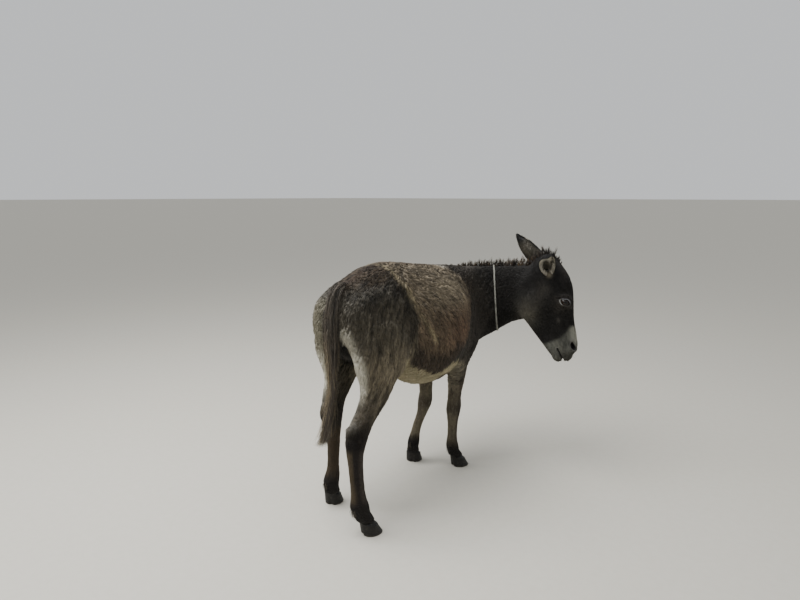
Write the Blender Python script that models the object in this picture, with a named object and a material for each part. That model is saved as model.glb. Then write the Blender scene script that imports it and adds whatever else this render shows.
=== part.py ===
"""A standing donkey, life size, as a still museum model: body, hooves, eyes and a neck rope.

Metres, +Z up. The donkey faces -Y, its left side is +X, and it stands on Z = 0. The flesh is lofted
and built up from muscle masses, joined into one body, and parted with thin cuts where a person would
name its parts.
"""
import bpy
import bmesh
import math
from mathutils import Matrix, Vector

# ---------------------------------------------------------------- driving dimensions
GAP = 0.0003             # clear space between touching pieces
VOXEL = 0.007            # grid on which the masses are fused
SMOOTHING = 7            # rounds of smoothing after fusing
FLESH_TRIANGLES = 3650   # what is left of the fused body
FINE_SHARE = 0.84        # how readily the head and feet are thinned, against the rest
SPLINE_STEPS = 4         # sections worked out between two named ones
TOE_OUT = math.radians(24)
HOOF_HEIGHT = 0.062
HOOF_HALF_LENGTH = 0.050
HOOF_HALF_WIDTH = 0.041
HOOF_POINTS = 16
HOOF_LEVELS = (0.0, 0.08, 0.92, 1.0)    # shares of the wall's height that carry a ring
HOOF_RIM = 0.0015        # rounding of the wall's two edges
HOOF_LENGTH_TAPER = 0.16
HOOF_WIDTH_TAPER = 0.12
HEEL_SHARE = 0.82        # length behind the hoof's middle, against that in front
TOE_REACH = 0.022        # how far the sole lies ahead of the coronet
CORONET_SLOPE = math.radians(16)
CORONET_SHARE = 0.84     # height of the coronet's middle, against the hoof's
EYE_RADIUS = 0.0210
EAR_LENGTH = 0.250
EAR_POINTS = 7           # places across an ear's sheet
ROPE_RADIUS = 0.004
ROPE_CLEARANCE = 0.0010  # from the coat to the rope's skin
ROPE_POINTS = 40
ROPE_MIDDLE = (0.475, -0.152, 0.880)
ROPE_TURN = math.radians(31)
ROPE_LEAN = 0.07

# Head frame: the poll, the way the face looks and the lean of the face forward of plumb.
POLL = (0.512, -0.408, 1.066)
FACE_HEADING = math.radians(-65)
FACE_LEAN = math.radians(11)

# Trunk sections: forward, top, bottom, half width, height of the widest place.
TRUNK = (
    (-0.508, 0.950, 0.790, 0.045, 0.880),
    (-0.485, 0.995, 0.735, 0.100, 0.870),
    (-0.420, 1.038, 0.690, 0.148, 0.870),
    (-0.330, 1.076, 0.650, 0.166, 0.880),
    (-0.240, 1.093, 0.605, 0.172, 0.880),
    (-0.140, 1.086, 0.545, 0.192, 0.810),
    (-0.030, 1.071, 0.490, 0.218, 0.760),
    (0.080, 1.058, 0.489, 0.218, 0.750),
    (0.180, 1.046, 0.520, 0.190, 0.760),
    (0.280, 1.038, 0.556, 0.150, 0.780),
    (0.380, 1.020, 0.610, 0.122, 0.800),
    (0.450, 0.960, 0.670, 0.090, 0.815),
    (0.490, 0.890, 0.740, 0.045, 0.815),
)
# Neck sections along its bend to the right: forward, left, top, bottom, half width.
NECK = (
    (0.260, 0.000, 1.030, 0.620, 0.105),
    (0.355, -0.030, 1.028, 0.612, 0.114),
    (0.430, -0.085, 1.030, 0.632, 0.102),
    (0.480, -0.155, 1.034, 0.676, 0.083),
    (0.502, -0.235, 1.040, 0.730, 0.068),
    (0.508, -0.310, 1.046, 0.762, 0.061),
    (0.512, -0.375, 1.050, 0.785, 0.060),
    (0.522, -0.425, 1.040, 0.830, 0.055),
)
# Skull and face: distance down from the poll, front, back, half width.
FACE = (
    (-0.028, 0.036, -0.035, 0.034),
    (0.000, 0.054, -0.070, 0.052),
    (0.050, 0.080, -0.095, 0.066),
    (0.100, 0.100, -0.100, 0.076),
    (0.150, 0.106, -0.095, 0.083),
    (0.200, 0.103, -0.085, 0.082),
    (0.250, 0.097, -0.075, 0.070),
    (0.300, 0.091, -0.062, 0.058),
    (0.350, 0.090, -0.048, 0.050),
    (0.400, 0.091, -0.035, 0.048),
    (0.440, 0.088, -0.018, 0.050),
    (0.470, 0.062, -0.004, 0.044),
    (0.498, 0.036, 0.006, 0.028),
)
# Lower jaw, in the same terms.
JAW = (
    (0.050, -0.020, -0.125, 0.040),
    (0.110, -0.030, -0.158, 0.052),
    (0.180, -0.030, -0.170, 0.058),
    (0.240, -0.030, -0.166, 0.054),
    (0.300, -0.025, -0.136, 0.044),
    (0.350, -0.020, -0.112, 0.036),
    (0.400, -0.015, -0.086, 0.034),
    (0.440, -0.008, -0.066, 0.034),
    (0.472, -0.006, -0.048, 0.030),
    (0.488, -0.012, -0.036, 0.018),
)
# Thickness of the limbs: height, fore-and-aft half, sideways half.
HIND_LIMB = (
    (0.960, 0.130, 0.075), (0.860, 0.150, 0.085), (0.760, 0.150, 0.082), (0.670, 0.136, 0.070),
    (0.590, 0.090, 0.056), (0.530, 0.072, 0.050), (0.480, 0.062, 0.043), (0.440, 0.062, 0.041),
    (0.395, 0.051, 0.038), (0.340, 0.038, 0.030), (0.260, 0.034, 0.027), (0.180, 0.034, 0.028),
    (0.135, 0.043, 0.037), (0.105, 0.038, 0.034), (0.080, 0.040, 0.036), (0.052, 0.044, 0.038),
)
FORE_LIMB = (
    (0.760, 0.105, 0.050), (0.680, 0.105, 0.055), (0.600, 0.082, 0.052), (0.530, 0.058, 0.045),
    (0.450, 0.045, 0.038), (0.380, 0.037, 0.034), (0.340, 0.040, 0.038), (0.300, 0.038, 0.036),
    (0.260, 0.031, 0.029), (0.200, 0.028, 0.026), (0.155, 0.030, 0.028), (0.122, 0.036, 0.034),
    (0.098, 0.032, 0.031), (0.076, 0.036, 0.034), (0.052, 0.042, 0.037),
)
# Routes of the limbs' middles: height, forward, left.
LIMB_ROUTES = {
    "hind_right": (HIND_LIMB, (
        (0.960, -0.360, -0.075), (0.760, -0.374, -0.110), (0.640, -0.380, -0.120),
        (0.540, -0.432, -0.128), (0.460, -0.512, -0.134), (0.410, -0.540, -0.137),
        (0.340, -0.552, -0.140), (0.180, -0.545, -0.146), (0.120, -0.538, -0.150),
        (0.052, -0.512, -0.160))),
    "hind_left": (HIND_LIMB, (
        (0.960, -0.360, 0.075), (0.760, -0.362, 0.104), (0.640, -0.360, 0.110),
        (0.540, -0.400, 0.112), (0.460, -0.436, 0.111), (0.410, -0.438, 0.112),
        (0.340, -0.430, 0.112), (0.180, -0.433, 0.116), (0.120, -0.442, 0.120),
        (0.052, -0.430, 0.128))),
    "fore_right": (FORE_LIMB, (
        (0.760, 0.335, -0.095), (0.640, 0.270, -0.108), (0.540, 0.225, -0.100),
        (0.330, 0.212, -0.086), (0.200, 0.212, -0.080), (0.122, 0.218, -0.076),
        (0.052, 0.252, -0.078))),
    "fore_left": (FORE_LIMB, (
        (0.760, 0.335, 0.095), (0.640, 0.265, 0.108), (0.540, 0.222, 0.100),
        (0.330, 0.205, 0.088), (0.200, 0.160, 0.104), (0.122, 0.140, 0.112),
        (0.052, 0.150, 0.124))),
}
# Muscle and bone masses on both sides: forward, left, up, then radii forward, sideways, up.
MASSES = (
    (-0.215, 0.108, 0.985, 0.075, 0.052, 0.052),    # point of the hip
    (-0.345, 0.088, 0.930, 0.150, 0.080, 0.095),    # croup muscle
    (-0.475, 0.082, 0.865, 0.070, 0.062, 0.120),    # buttock
    (-0.290, 0.122, 0.740, 0.085, 0.062, 0.130),    # front of the thigh
    (0.330, 0.085, 0.880, 0.100, 0.055, 0.150),     # shoulder blade
    (0.405, 0.088, 0.750, 0.075, 0.050, 0.090),     # point of the shoulder
    (0.225, 0.100, 0.640, 0.070, 0.050, 0.060),     # elbow
    (0.390, 0.045, 0.660, 0.070, 0.055, 0.080),     # breast muscle
)
# Masses of the head: down, front, side, then radii along the same directions.
HEAD_MASSES = (
    (0.204, 0.066, 0.056, 0.046, 0.034, 0.034),     # rim of the eye socket
    (0.190, -0.085, 0.036, 0.080, 0.070, 0.036),    # cheek muscle
    (0.275, 0.018, 0.042, 0.060, 0.022, 0.024),     # crest of the cheekbone
    (0.446, 0.050, 0.024, 0.030, 0.036, 0.028),     # nostril wing
    (0.480, 0.030, 0.010, 0.032, 0.028, 0.028),     # upper lip
    (0.474, -0.018, 0.006, 0.038, 0.029, 0.026),    # lower lip and chin
    (0.050, 0.004, 0.034, 0.050, 0.046, 0.034),     # root of the ear
)
TAIL_ROUTE = (
    (-0.440, 0.000, 1.025), (-0.496, -0.004, 0.990), (-0.530, -0.010, 0.900),
    (-0.540, -0.010, 0.800), (-0.545, -0.007, 0.690), (-0.552, -0.001, 0.570),
    (-0.564, 0.008, 0.430), (-0.578, 0.024, 0.350),
)
TAIL_HALVES = (0.024, 0.028, 0.031, 0.031, 0.028, 0.023, 0.019, 0.006)
TAIL_PARTING = (-0.576, 0.020, 0.700)

# Cuts between the body's parts: outlines seen from the side (forward, up).
CORNER_SPREAD = 1.8      # a corner moved this many gaps moves its faces at least one gap
HIND_CUT = (
    (-0.80, -0.10), (-0.80, 0.690), (-0.34, 0.640), (-0.205, 0.575), (-0.190, 0.480), (-0.190, -0.10))
FORE_CUT = (
    (0.02, -0.10), (0.02, 0.440), (0.120, 0.475), (0.150, 0.562), (0.450, 0.572), (0.450, -0.10))
FORE_CUT_INNER = 0.030
HOCK_CUT = 0.385
KNEE_CUT = 0.290

# Eyes, nostrils and ears, in the head: down, front, side.
EYE_PLACE = (0.207, 0.064, 0.0645)
EYE_SLANT = math.radians(52)     # corner by the nose lies lower and further forward
LID_OPENING = (0.0225, 0.0150, 0.0180)  # half length, half height and half depth of the almond
NOSTRIL_PLACE = (0.436, 0.070, 0.046)
# Line between the lips: a wedge in the head's middle plane (down, front), open at the front.
LIP_LINE = ((0.430, 0.002), (0.520, -0.002), (0.520, 0.012))
LIP_REACH = 0.10
EAR_ROOT = (0.060, 0.010, 0.052)
# Ear sections: share of the length, half width, thickness, half angle of the wrap.
EAR_SECTIONS = (
    (-0.06, 0.022, 0.010, 2.60), (0.08, 0.030, 0.008, 2.30), (0.25, 0.038, 0.007, 1.90),
    (0.45, 0.040, 0.006, 1.60), (0.65, 0.036, 0.006, 1.40), (0.82, 0.026, 0.005, 1.25),
    (0.94, 0.014, 0.005, 1.20), (1.00, 0.006, 0.004, 1.20),
)
# Mane stations: forward, left, up of the roots, height of the hair, half thickness.
MANE = (
    (0.300, 0.000, 1.020, 0.012, 0.008), (0.420, -0.070, 1.020, 0.030, 0.010),
    (0.480, -0.155, 1.022, 0.040, 0.011), (0.503, -0.240, 1.028, 0.040, 0.011),
    (0.508, -0.320, 1.034, 0.044, 0.011), (0.508, -0.368, 1.043, 0.048, 0.010),
)
# Forelock stations in the head: down and front of the roots, reach up and forward, half thickness.
FORELOCK = (
    (0.006, -0.026, 0.050, 0.000, 0.010), (-0.010, 0.000, 0.052, 0.004, 0.014),
    (-0.004, 0.035, 0.046, 0.012, 0.014), (0.016, 0.062, 0.026, 0.012, 0.010),
    (0.040, 0.074, 0.008, 0.008, 0.006),
)
COAT_COLOUR = (0.045, 0.038, 0.032)
HORN_COLOUR = (0.075, 0.068, 0.060)
EYE_COLOUR = (0.010, 0.007, 0.005)
ROPE_COLOUR = (0.42, 0.38, 0.30)


# ---------------------------------------------------------------- frames
def at(forward, left, up):
    """A place named from the donkey's own point of view."""
    return Vector((left, -forward, up))


FACE_AHEAD = at(math.cos(FACE_HEADING), math.sin(FACE_HEADING), 0)
HEAD_DOWN = FACE_AHEAD * math.sin(FACE_LEAN) - at(0, 0, 1) * math.cos(FACE_LEAN)
HEAD_FRONT = FACE_AHEAD * math.cos(FACE_LEAN) + at(0, 0, 1) * math.sin(FACE_LEAN)
HEAD_LEFT = HEAD_FRONT.cross(HEAD_DOWN)


def in_head(down, front, left):
    """A place in the head, measured from the poll."""
    return at(*POLL) + HEAD_DOWN * down + HEAD_FRONT * front + HEAD_LEFT * left


# Planes behind the head and in front of the shoulders: a point and the way ahead.
HEAD_CUT = (in_head(0.130, -0.115, 0), (HEAD_FRONT + HEAD_DOWN * 0.45).normalized())
NECK_CUT = (at(0.445, -0.095, 0.860), at(0.76, -0.60, 0.24).normalized())
# Ears: name, side, the way each points and the way its opening faces.
EARS = (
    ("ear_right", -1,
     HEAD_LEFT * -0.90 - HEAD_DOWN * 0.36 + HEAD_FRONT * 0.06,
     HEAD_DOWN + HEAD_FRONT * 0.15),
    ("ear_left", 1,
     HEAD_LEFT * 0.32 - HEAD_DOWN * 0.88 - HEAD_FRONT * 0.58,
     HEAD_LEFT * 0.9 + HEAD_DOWN * 0.3 + HEAD_FRONT * 0.3),
)


# ---------------------------------------------------------------- making shapes
def spline(rows, steps=SPLINE_STEPS):
    """Catmull-Rom rows between the named rows, ends included."""
    out = []
    for i in range(len(rows) - 1):
        before = rows[max(i - 1, 0)]
        here = rows[i]
        there = rows[i + 1]
        after = rows[min(i + 2, len(rows) - 1)]
        for step in range(steps):
            t = step / steps
            out.append(tuple(
                0.5 * (2 * b + (c - a) * t + (2 * a - 5 * b + 4 * c - d) * t * t
                       + (3 * b - a - 3 * c + d) * t ** 3)
                for a, b, c, d in zip(before, here, there, after)))
    out.append(tuple(rows[-1]))
    return out


def read_route(route, height):
    """Where a limb's middle is at a height, on the smooth curve through its route."""
    rows = spline(route, 8)
    for upper, lower in zip(rows, rows[1:]):
        if upper[0] >= height >= lower[0]:
            t = (upper[0] - height) / max(upper[0] - lower[0], 1e-9)
            return tuple(a + (b - a) * t for a, b in zip(upper, lower))
    return rows[0] if height > rows[0][0] else rows[-1]


def new_object(name, bm, smooth=True):
    mesh = bpy.data.meshes.new(name)
    bm.to_mesh(mesh)
    bm.free()
    if smooth:
        mesh.shade_smooth()
    obj = bpy.data.objects.new(name, mesh)
    bpy.context.collection.objects.link(obj)
    return obj


def loft(name, rings):
    """A closed body through rings of points, capped at both ends."""
    bm = bmesh.new()
    loops = [[bm.verts.new(point) for point in points] for points in rings]
    for first, second in zip(loops, loops[1:]):
        for i in range(len(first)):
            j = (i + 1) % len(first)
            bm.faces.new((first[i], first[j], second[j], second[i]))
    bm.faces.new(reversed(loops[0]))
    bm.faces.new(loops[-1])
    bm.normal_update()
    bmesh.ops.recalc_face_normals(bm, faces=bm.faces)
    return new_object(name, bm)


def ring(middle, side, rise, half_width, above, below, count=24, square=2.0):
    """An egg-shaped ring: its half width, and its reach above and below the middle."""
    points = []
    for i in range(count):
        angle = 2 * math.pi * i / count
        across = math.copysign(abs(math.sin(angle)) ** (2 / square), math.sin(angle))
        along = math.copysign(abs(math.cos(angle)) ** (2 / square), math.cos(angle))
        reach = above if along > 0 else below
        points.append(middle + side * (half_width * across) + rise * (reach * along))
    return points


def ellipsoid(name, middle, axes):
    """A ball stretched to three half axes given as vectors."""
    bm = bmesh.new()
    bmesh.ops.create_icosphere(bm, subdivisions=3, radius=1)
    turn = Matrix(axes).transposed()
    for vert in bm.verts:
        vert.co = middle + turn @ vert.co
    if turn.determinant() < 0:
        bmesh.ops.reverse_faces(bm, faces=bm.faces)
    return new_object(name, bm)


def select_only(objects):
    bpy.ops.object.select_all(action="DESELECT")
    for obj in objects:
        obj.select_set(True)
    bpy.context.view_layer.objects.active = objects[0]


def apply_modifier(obj, kind, **settings):
    modifier = obj.modifiers.new(kind.title(), kind)
    for key, value in settings.items():
        setattr(modifier, key, value)
    select_only([obj])
    bpy.ops.object.modifier_apply(modifier=modifier.name)


def boolean(obj, cutter, operation, solver="EXACT"):
    apply_modifier(obj, "BOOLEAN", operation=operation, object=cutter, solver=solver)


def duplicate(obj, name):
    copy = bpy.data.objects.new(name, obj.data.copy())
    bpy.context.collection.objects.link(copy)
    return copy


def grown(obj, amount):
    """A copy of an object, larger by a small amount along its normals."""
    copy = duplicate(obj, obj.name + "_grown")
    mesh = copy.data
    moved = [vert.co + vert.normal * amount for vert in mesh.vertices]
    for vert, place in zip(mesh.vertices, moved):
        vert.co = place
    return copy


def remove(*objects):
    for obj in objects:
        bpy.data.objects.remove(obj)


# ---------------------------------------------------------------- the flesh
def trunk_shape():
    rings = []
    for forward, top, bottom, half, widest in spline(TRUNK):
        middle = at(forward, 0, widest)
        above = top - widest
        below = widest - bottom
        rings.append(ring(middle, at(0, 1, 0), at(0, 0, 1), half, above, below, 28, 2.15))
    return loft("trunk_shape", rings)


def neck_shape():
    rows = spline(NECK)
    rings = []
    for i, (forward, left, top, bottom, half) in enumerate(rows):
        before = rows[max(i - 1, 0)]
        after = rows[min(i + 1, len(rows) - 1)]
        course = at(after[0] - before[0], after[1] - before[1], 0).normalized()
        side = at(0, 0, 1).cross(course)
        middle = at(forward, left, bottom + (top - bottom) * 0.48)
        rings.append(ring(middle, side, at(0, 0, 1), half, top - middle.z, middle.z - bottom, 24, 1.9))
    return loft("neck_shape", rings)


def head_shape(name, rows, square):
    rings = []
    for down, front, back, half in spline(rows):
        middle = in_head(down, (front + back) / 2, 0)
        reach = (front - back) / 2
        rings.append(ring(middle, HEAD_LEFT, HEAD_FRONT, half, reach, reach, 24, square))
    return loft(name, rings)


def toe_heading(name):
    """The way a foot points: a little outward of straight ahead."""
    turn = TOE_OUT if name.endswith("left") else -TOE_OUT
    return at(math.cos(turn), math.sin(turn), 0)


def limb_shape(name, limb, route):
    rings = []
    for height, fore_aft, sideways in spline(limb):
        _, forward, left = read_route(route, height)
        turn = min(max((0.42 - height) / 0.30, 0), 1)
        ahead = at(1, 0, 0).lerp(toe_heading(name), turn).normalized()
        side = at(0, 0, 1).cross(ahead)
        rings.append(ring(at(forward, left, height), side, ahead, sideways, fore_aft, fore_aft, 20))
    return loft(name + "_shape", rings)


def mirrored_masses():
    made = []
    for row in MASSES:
        for sign in (1, -1):
            forward, left, up, long, wide, high = row
            axes = (at(long, 0, 0), at(0, wide, 0), at(0, 0, high))
            made.append(ellipsoid("mass", at(forward, sign * left, up), axes))
    for down, front, left, long, deep, wide in HEAD_MASSES:
        for sign in (1, -1):
            axes = (HEAD_DOWN * long, HEAD_FRONT * deep, HEAD_LEFT * wide)
            made.append(ellipsoid("mass", in_head(down, front, sign * left), axes))
    return made


def hock_points():
    """The bony point behind and above each hock, with the tendon that runs up from it."""
    made = []
    for name in ("hind_right", "hind_left"):
        route = LIMB_ROUTES[name][1]
        _, forward, left = read_route(route, 0.430)
        made.append(ellipsoid("hock", at(forward - 0.040, left, 0.448),
                              (at(0.022, 0, 0.006), at(0, 0.022, 0), at(-0.006, 0, 0.036))))
    return made


def fuse(parts):
    """One body from overlapping shapes, smoothed and thinned out, finest on the head and feet."""
    select_only(parts)
    bpy.ops.object.join()
    body = parts[0]
    body.name = "flesh"
    apply_modifier(body, "REMESH", mode="VOXEL", voxel_size=VOXEL)
    apply_modifier(body, "SMOOTH", factor=0.5, iterations=SMOOTHING)
    group = body.vertex_groups.new(name="coarse")
    head_middle = in_head(0.25, 0, 0)
    for vert in body.data.vertices:
        fine = (vert.co - head_middle).length < 0.31 or vert.co.z < 0.48
        weight = FINE_SHARE if fine else 1.0
        group.add([vert.index], weight, "REPLACE")
    ratio = FLESH_TRIANGLES / (2 * len(body.data.polygons))
    apply_modifier(body, "DECIMATE", ratio=ratio, vertex_group="coarse", vertex_group_factor=1.0)
    return body


# ---------------------------------------------------------------- parting
def slab(name, corners, across, start, end):
    """A closed prism: an outline pushed out along one direction, between two distances."""
    bm = bmesh.new()
    near = [bm.verts.new(point + across * start) for point in corners]
    far = [bm.verts.new(point + across * end) for point in corners]
    bm.faces.new(near)
    bm.faces.new(reversed(far))
    for i in range(len(near)):
        j = (i + 1) % len(near)
        bm.faces.new((near[j], near[i], far[i], far[j]))
    bm.normal_update()
    bmesh.ops.recalc_face_normals(bm, faces=bm.faces)
    return new_object(name, bm, smooth=False)


def half_space(name, point, outward, size=0.9):
    """A large block that fills one side of a plane."""
    side = outward.orthogonal().normalized()
    other = outward.cross(side).normalized()
    signs = ((1, 1), (-1, 1), (-1, -1), (1, -1))
    corners = [point + side * size * a + other * size * b for a, b in signs]
    return slab(name, corners, outward, 0, 2 * size)


def part_off(body, cutter, name):
    """Split what lies inside a cutter from a body. Returns the piece; the body keeps the rest."""
    piece = duplicate(body, name)
    boolean(piece, cutter, "INTERSECT")
    wider = grown(cutter, GAP * CORNER_SPREAD)
    boolean(body, wider, "DIFFERENCE")
    remove(cutter, wider)
    return piece


def side_prism(name, outline, inner, outer):
    """A prism from an outline seen from the side (forward, up), between two distances to the left."""
    corners = [at(forward, 0, up) for forward, up in outline]
    return slab(name, corners, at(0, 1, 0), inner, outer)


def part_limb(body, name):
    """One limb in three pieces: upper leg, lower leg and the bare cut for its hoof."""
    sign = 1 if name.endswith("left") else -1
    hind = name.startswith("hind")
    outline = HIND_CUT if hind else FORE_CUT
    inner = 0.0 if hind else FORE_CUT_INNER
    limb = part_off(body, side_prism("cut", outline, sign * inner, sign * 0.40), name + "_upper")
    joint = HOCK_CUT if hind else KNEE_CUT
    route = LIMB_ROUTES[name][1]
    _, forward, left = read_route(route, joint)
    lower = part_off(limb, half_space("cut", at(forward, left, joint), at(0, 0, -1)), name + "_lower")
    sole = half_space("cut", coronet_middle(name), coronet_normal(name))
    boolean(lower, sole, "DIFFERENCE")
    remove(sole)
    return limb, lower


# ---------------------------------------------------------------- hooves
def coronet_normal(name):
    """Downward normal of the coronet's plane, which drops from toe to heel."""
    down = at(0, 0, -1) * math.cos(CORONET_SLOPE)
    return (down - toe_heading(name) * math.sin(CORONET_SLOPE)).normalized()


def coronet_middle(name):
    route = LIMB_ROUTES[name][1]
    _, forward, left = read_route(route, route[-1][0])
    return at(forward, left, HOOF_HEIGHT * CORONET_SHARE)


def hoof(name):
    """A horn capsule: flat sole, steep wall, toe longer than the heels."""
    ahead = toe_heading(name)
    side = at(0, 0, 1).cross(ahead)
    crown = coronet_middle(name) + coronet_normal(name) * GAP
    rings = []
    for t in HOOF_LEVELS:
        rim = HOOF_RIM if t in (0.0, 1.0) else 0.0
        length = HOOF_HALF_LENGTH * (1.0 - HOOF_LENGTH_TAPER * t) - rim
        width = HOOF_HALF_WIDTH * (1.0 - HOOF_WIDTH_TAPER * t) - rim
        points = []
        for i in range(HOOF_POINTS):
            angle = 2 * math.pi * i / HOOF_POINTS
            forward = math.cos(angle) * length
            if forward < 0:
                forward *= HEEL_SHARE
            foot = crown + ahead * (TOE_REACH * (1 - t) + forward) + side * (math.sin(angle) * width)
            top = crown.z - (foot - crown).dot(ahead) * math.tan(CORONET_SLOPE)
            points.append(Vector((foot.x, foot.y, top * t)))
        rings.append(points)
    return loft("hoof_" + name, rings)


# ---------------------------------------------------------------- head pieces
def eye(name, sign):
    down, front, left = EYE_PLACE
    middle = in_head(down, front, sign * left)
    bm = bmesh.new()
    bmesh.ops.create_uvsphere(bm, u_segments=12, v_segments=8, radius=EYE_RADIUS)
    bmesh.ops.translate(bm, verts=bm.verts, vec=middle)
    return new_object(name, bm)


def open_eye(head, ball, sign):
    """Seat an eyeball in the head and open the almond between the lids in front of it."""
    socket = grown(ball, GAP)
    boolean(head, socket, "DIFFERENCE")
    remove(socket)
    down, front, left = EYE_PLACE
    along = HEAD_DOWN * math.cos(EYE_SLANT) + HEAD_FRONT * math.sin(EYE_SLANT)
    across = along.cross(HEAD_LEFT)
    long, high, deep = LID_OPENING
    almond = ellipsoid("cut", in_head(down, front, sign * (left + EYE_RADIUS)),
                       (along * long, across * high, HEAD_LEFT * deep))
    boolean(head, almond, "DIFFERENCE")
    remove(almond)


def nostrils_and_mouth(head):
    """Open the nostrils and the line between the lips."""
    down, front, left = NOSTRIL_PLACE
    for sign in (1, -1):
        hole = ellipsoid("cut", in_head(down, front, sign * left), (
            HEAD_DOWN * 0.015 + HEAD_FRONT * 0.006, HEAD_FRONT * 0.007 - HEAD_DOWN * 0.003,
            HEAD_LEFT * 0.018))
        boolean(head, hole, "DIFFERENCE")
        remove(hole)
    corners = [in_head(down, front, 0) for down, front in LIP_LINE]
    mouth = slab("cut", corners, HEAD_LEFT, -LIP_REACH, LIP_REACH)
    boolean(head, mouth, "DIFFERENCE")
    remove(mouth)


def ear(name, sign, course, opening):
    """A leaf-shaped cup: a thick curved sheet, rolled shut at its root and open along one side."""
    root = in_head(EAR_ROOT[0], EAR_ROOT[1], sign * EAR_ROOT[2])
    course = course.normalized()
    opening = (opening - course * opening.dot(course)).normalized()
    side = course.cross(opening)
    rings = []
    for t, half_width, thickness, wrap in spline(EAR_SECTIONS, 2):
        middle = root + course * (EAR_LENGTH * t) - opening * (0.018 * math.sin(math.pi * t))
        outer = []
        inner = []
        for i in range(EAR_POINTS):
            angle = wrap * (2 * i / (EAR_POINTS - 1) - 1)
            arm = side * math.sin(angle) - opening * (math.cos(angle) * 0.85)
            edge = 1 - 0.65 * abs(2 * i / (EAR_POINTS - 1) - 1) ** 3
            outer.append(middle + arm * half_width)
            inner.append(middle + arm * (half_width - thickness * edge))
        rings.append(outer + inner[::-1])
    return loft(name, rings)


# ---------------------------------------------------------------- hair and rope
def crest_strip(name, bases, tips, halves):
    """An upright strip of hair between a line of roots and a line of tips."""
    rings = []
    for i, (base, tip, half) in enumerate(zip(bases, tips, halves)):
        course = (bases[min(i + 1, len(bases) - 1)] - bases[max(i - 1, 0)]).normalized()
        side = (tip - base).normalized().cross(course) * half
        shoulder = base.lerp(tip, 0.6)
        rings.append([base + side, shoulder + side * 0.8, tip, shoulder - side * 0.8, base - side])
    return loft(name, rings)


def mane_shape():
    rows = spline(MANE, 3)
    bases = [at(*row[:3]) for row in rows]
    tips = [at(row[0], row[1], row[2] + row[3]) for row in rows]
    return crest_strip("mane", bases, tips, [row[4] for row in rows])


def forelock_shape():
    rows = spline(FORELOCK, 3)
    bases = [in_head(row[0], row[1], 0) for row in rows]
    tips = [in_head(row[0] - row[2], row[1] + row[3], 0) for row in rows]
    return crest_strip("forelock", bases, tips, [row[4] for row in rows])


def tail_shape():
    rows = spline([place + (half,) for place, half in zip(TAIL_ROUTE, TAIL_HALVES)], 2)
    rings = []
    for i, (forward, left, up, half) in enumerate(rows):
        before = at(*rows[max(i - 1, 0)][:3])
        after = at(*rows[min(i + 1, len(rows) - 1)][:3])
        course = (after - before).normalized()
        side = at(0, 1, 0)
        rise = course.cross(side).normalized()
        rings.append(ring(at(forward, left, up), side, rise, half, half * 0.8, half * 0.8, 12))
    return loft("tail", rings)


def neck_rope(flesh):
    """A thin rope loop lying round the base of the neck, on the coat."""
    middle = at(*ROPE_MIDDLE)
    across = at(math.cos(ROPE_TURN), math.sin(ROPE_TURN), 0)
    up = (at(0, 0, 1) - at(math.sin(ROPE_TURN), -math.cos(ROPE_TURN), 0) * ROPE_LEAN).normalized()
    points = []
    for i in range(ROPE_POINTS):
        angle = 2 * math.pi * i / ROPE_POINTS
        way = across * math.cos(angle) + up * math.sin(angle)
        hit, place, _, _ = flesh.ray_cast(middle + way * 0.6, -way)
        points.append(place + way * (ROPE_RADIUS + ROPE_CLEARANCE) if hit else middle + way * 0.15)
    for _ in range(2):
        points = [(points[i - 1] + points[i] * 2 + points[(i + 1) % ROPE_POINTS]) / 4
                  for i in range(ROPE_POINTS)]
    for _ in range(12):
        for i in range(ROPE_POINTS):
            j = (i + 1) % ROPE_POINTS
            for t in (0, 0.25, 0.5, 0.75):
                point = points[i].lerp(points[j], t)
                _, place, normal, _ = flesh.closest_point_on_mesh(point)
                lift = ROPE_RADIUS + ROPE_CLEARANCE - (point - place).dot(normal)
                if lift > 0:
                    points[i] = points[i] + normal * lift * (1 - t)
                    points[j] = points[j] + normal * lift * t
    curve = bpy.data.curves.new("neck_rope", "CURVE")
    curve.dimensions = "3D"
    curve.bevel_depth = ROPE_RADIUS
    curve.bevel_resolution = 2
    line = curve.splines.new("POLY")
    line.points.add(ROPE_POINTS - 1)
    for target, point in zip(line.points, points):
        target.co = (*point, 1)
    line.use_cyclic_u = True
    rope = bpy.data.objects.new("neck_rope", curve)
    bpy.context.collection.objects.link(rope)
    return rope


def rope_groove(rope):
    """A tube a little thicker than the rope, to clear its way through the mane."""
    wider = rope.data.copy()
    wider.bevel_depth = ROPE_RADIUS + GAP * CORNER_SPREAD
    tube = bpy.data.objects.new("tube", wider)
    bpy.context.collection.objects.link(tube)
    select_only([tube])
    bpy.ops.object.convert(target="MESH")
    return tube


# ---------------------------------------------------------------- materials
def dress(obj, colour, roughness):
    material = bpy.data.materials.new(obj.name)
    material.use_nodes = True
    shader = material.node_tree.nodes["Principled BSDF"]
    shader.inputs["Base Color"].default_value = (*colour, 1)
    shader.inputs["Roughness"].default_value = roughness
    shader.inputs["Metallic"].default_value = 0
    obj.data.materials.clear()
    obj.data.materials.append(material)


def settle(objects):
    """Bring the middle of the whole model's floor plan to the origin."""
    low = Vector((9, 9, 9))
    high = -low
    depsgraph = bpy.context.evaluated_depsgraph_get()
    for obj in objects:
        shape = obj.evaluated_get(depsgraph)
        mesh = shape.to_mesh()
        for vert in mesh.vertices:
            low = Vector(map(min, low, vert.co))
            high = Vector(map(max, high, vert.co))
        shape.to_mesh_clear()
    shift = Vector(((low.x + high.x) / 2, (low.y + high.y) / 2, 0))
    for obj in objects:
        obj.data.transform(Matrix.Translation(-shift))


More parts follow.
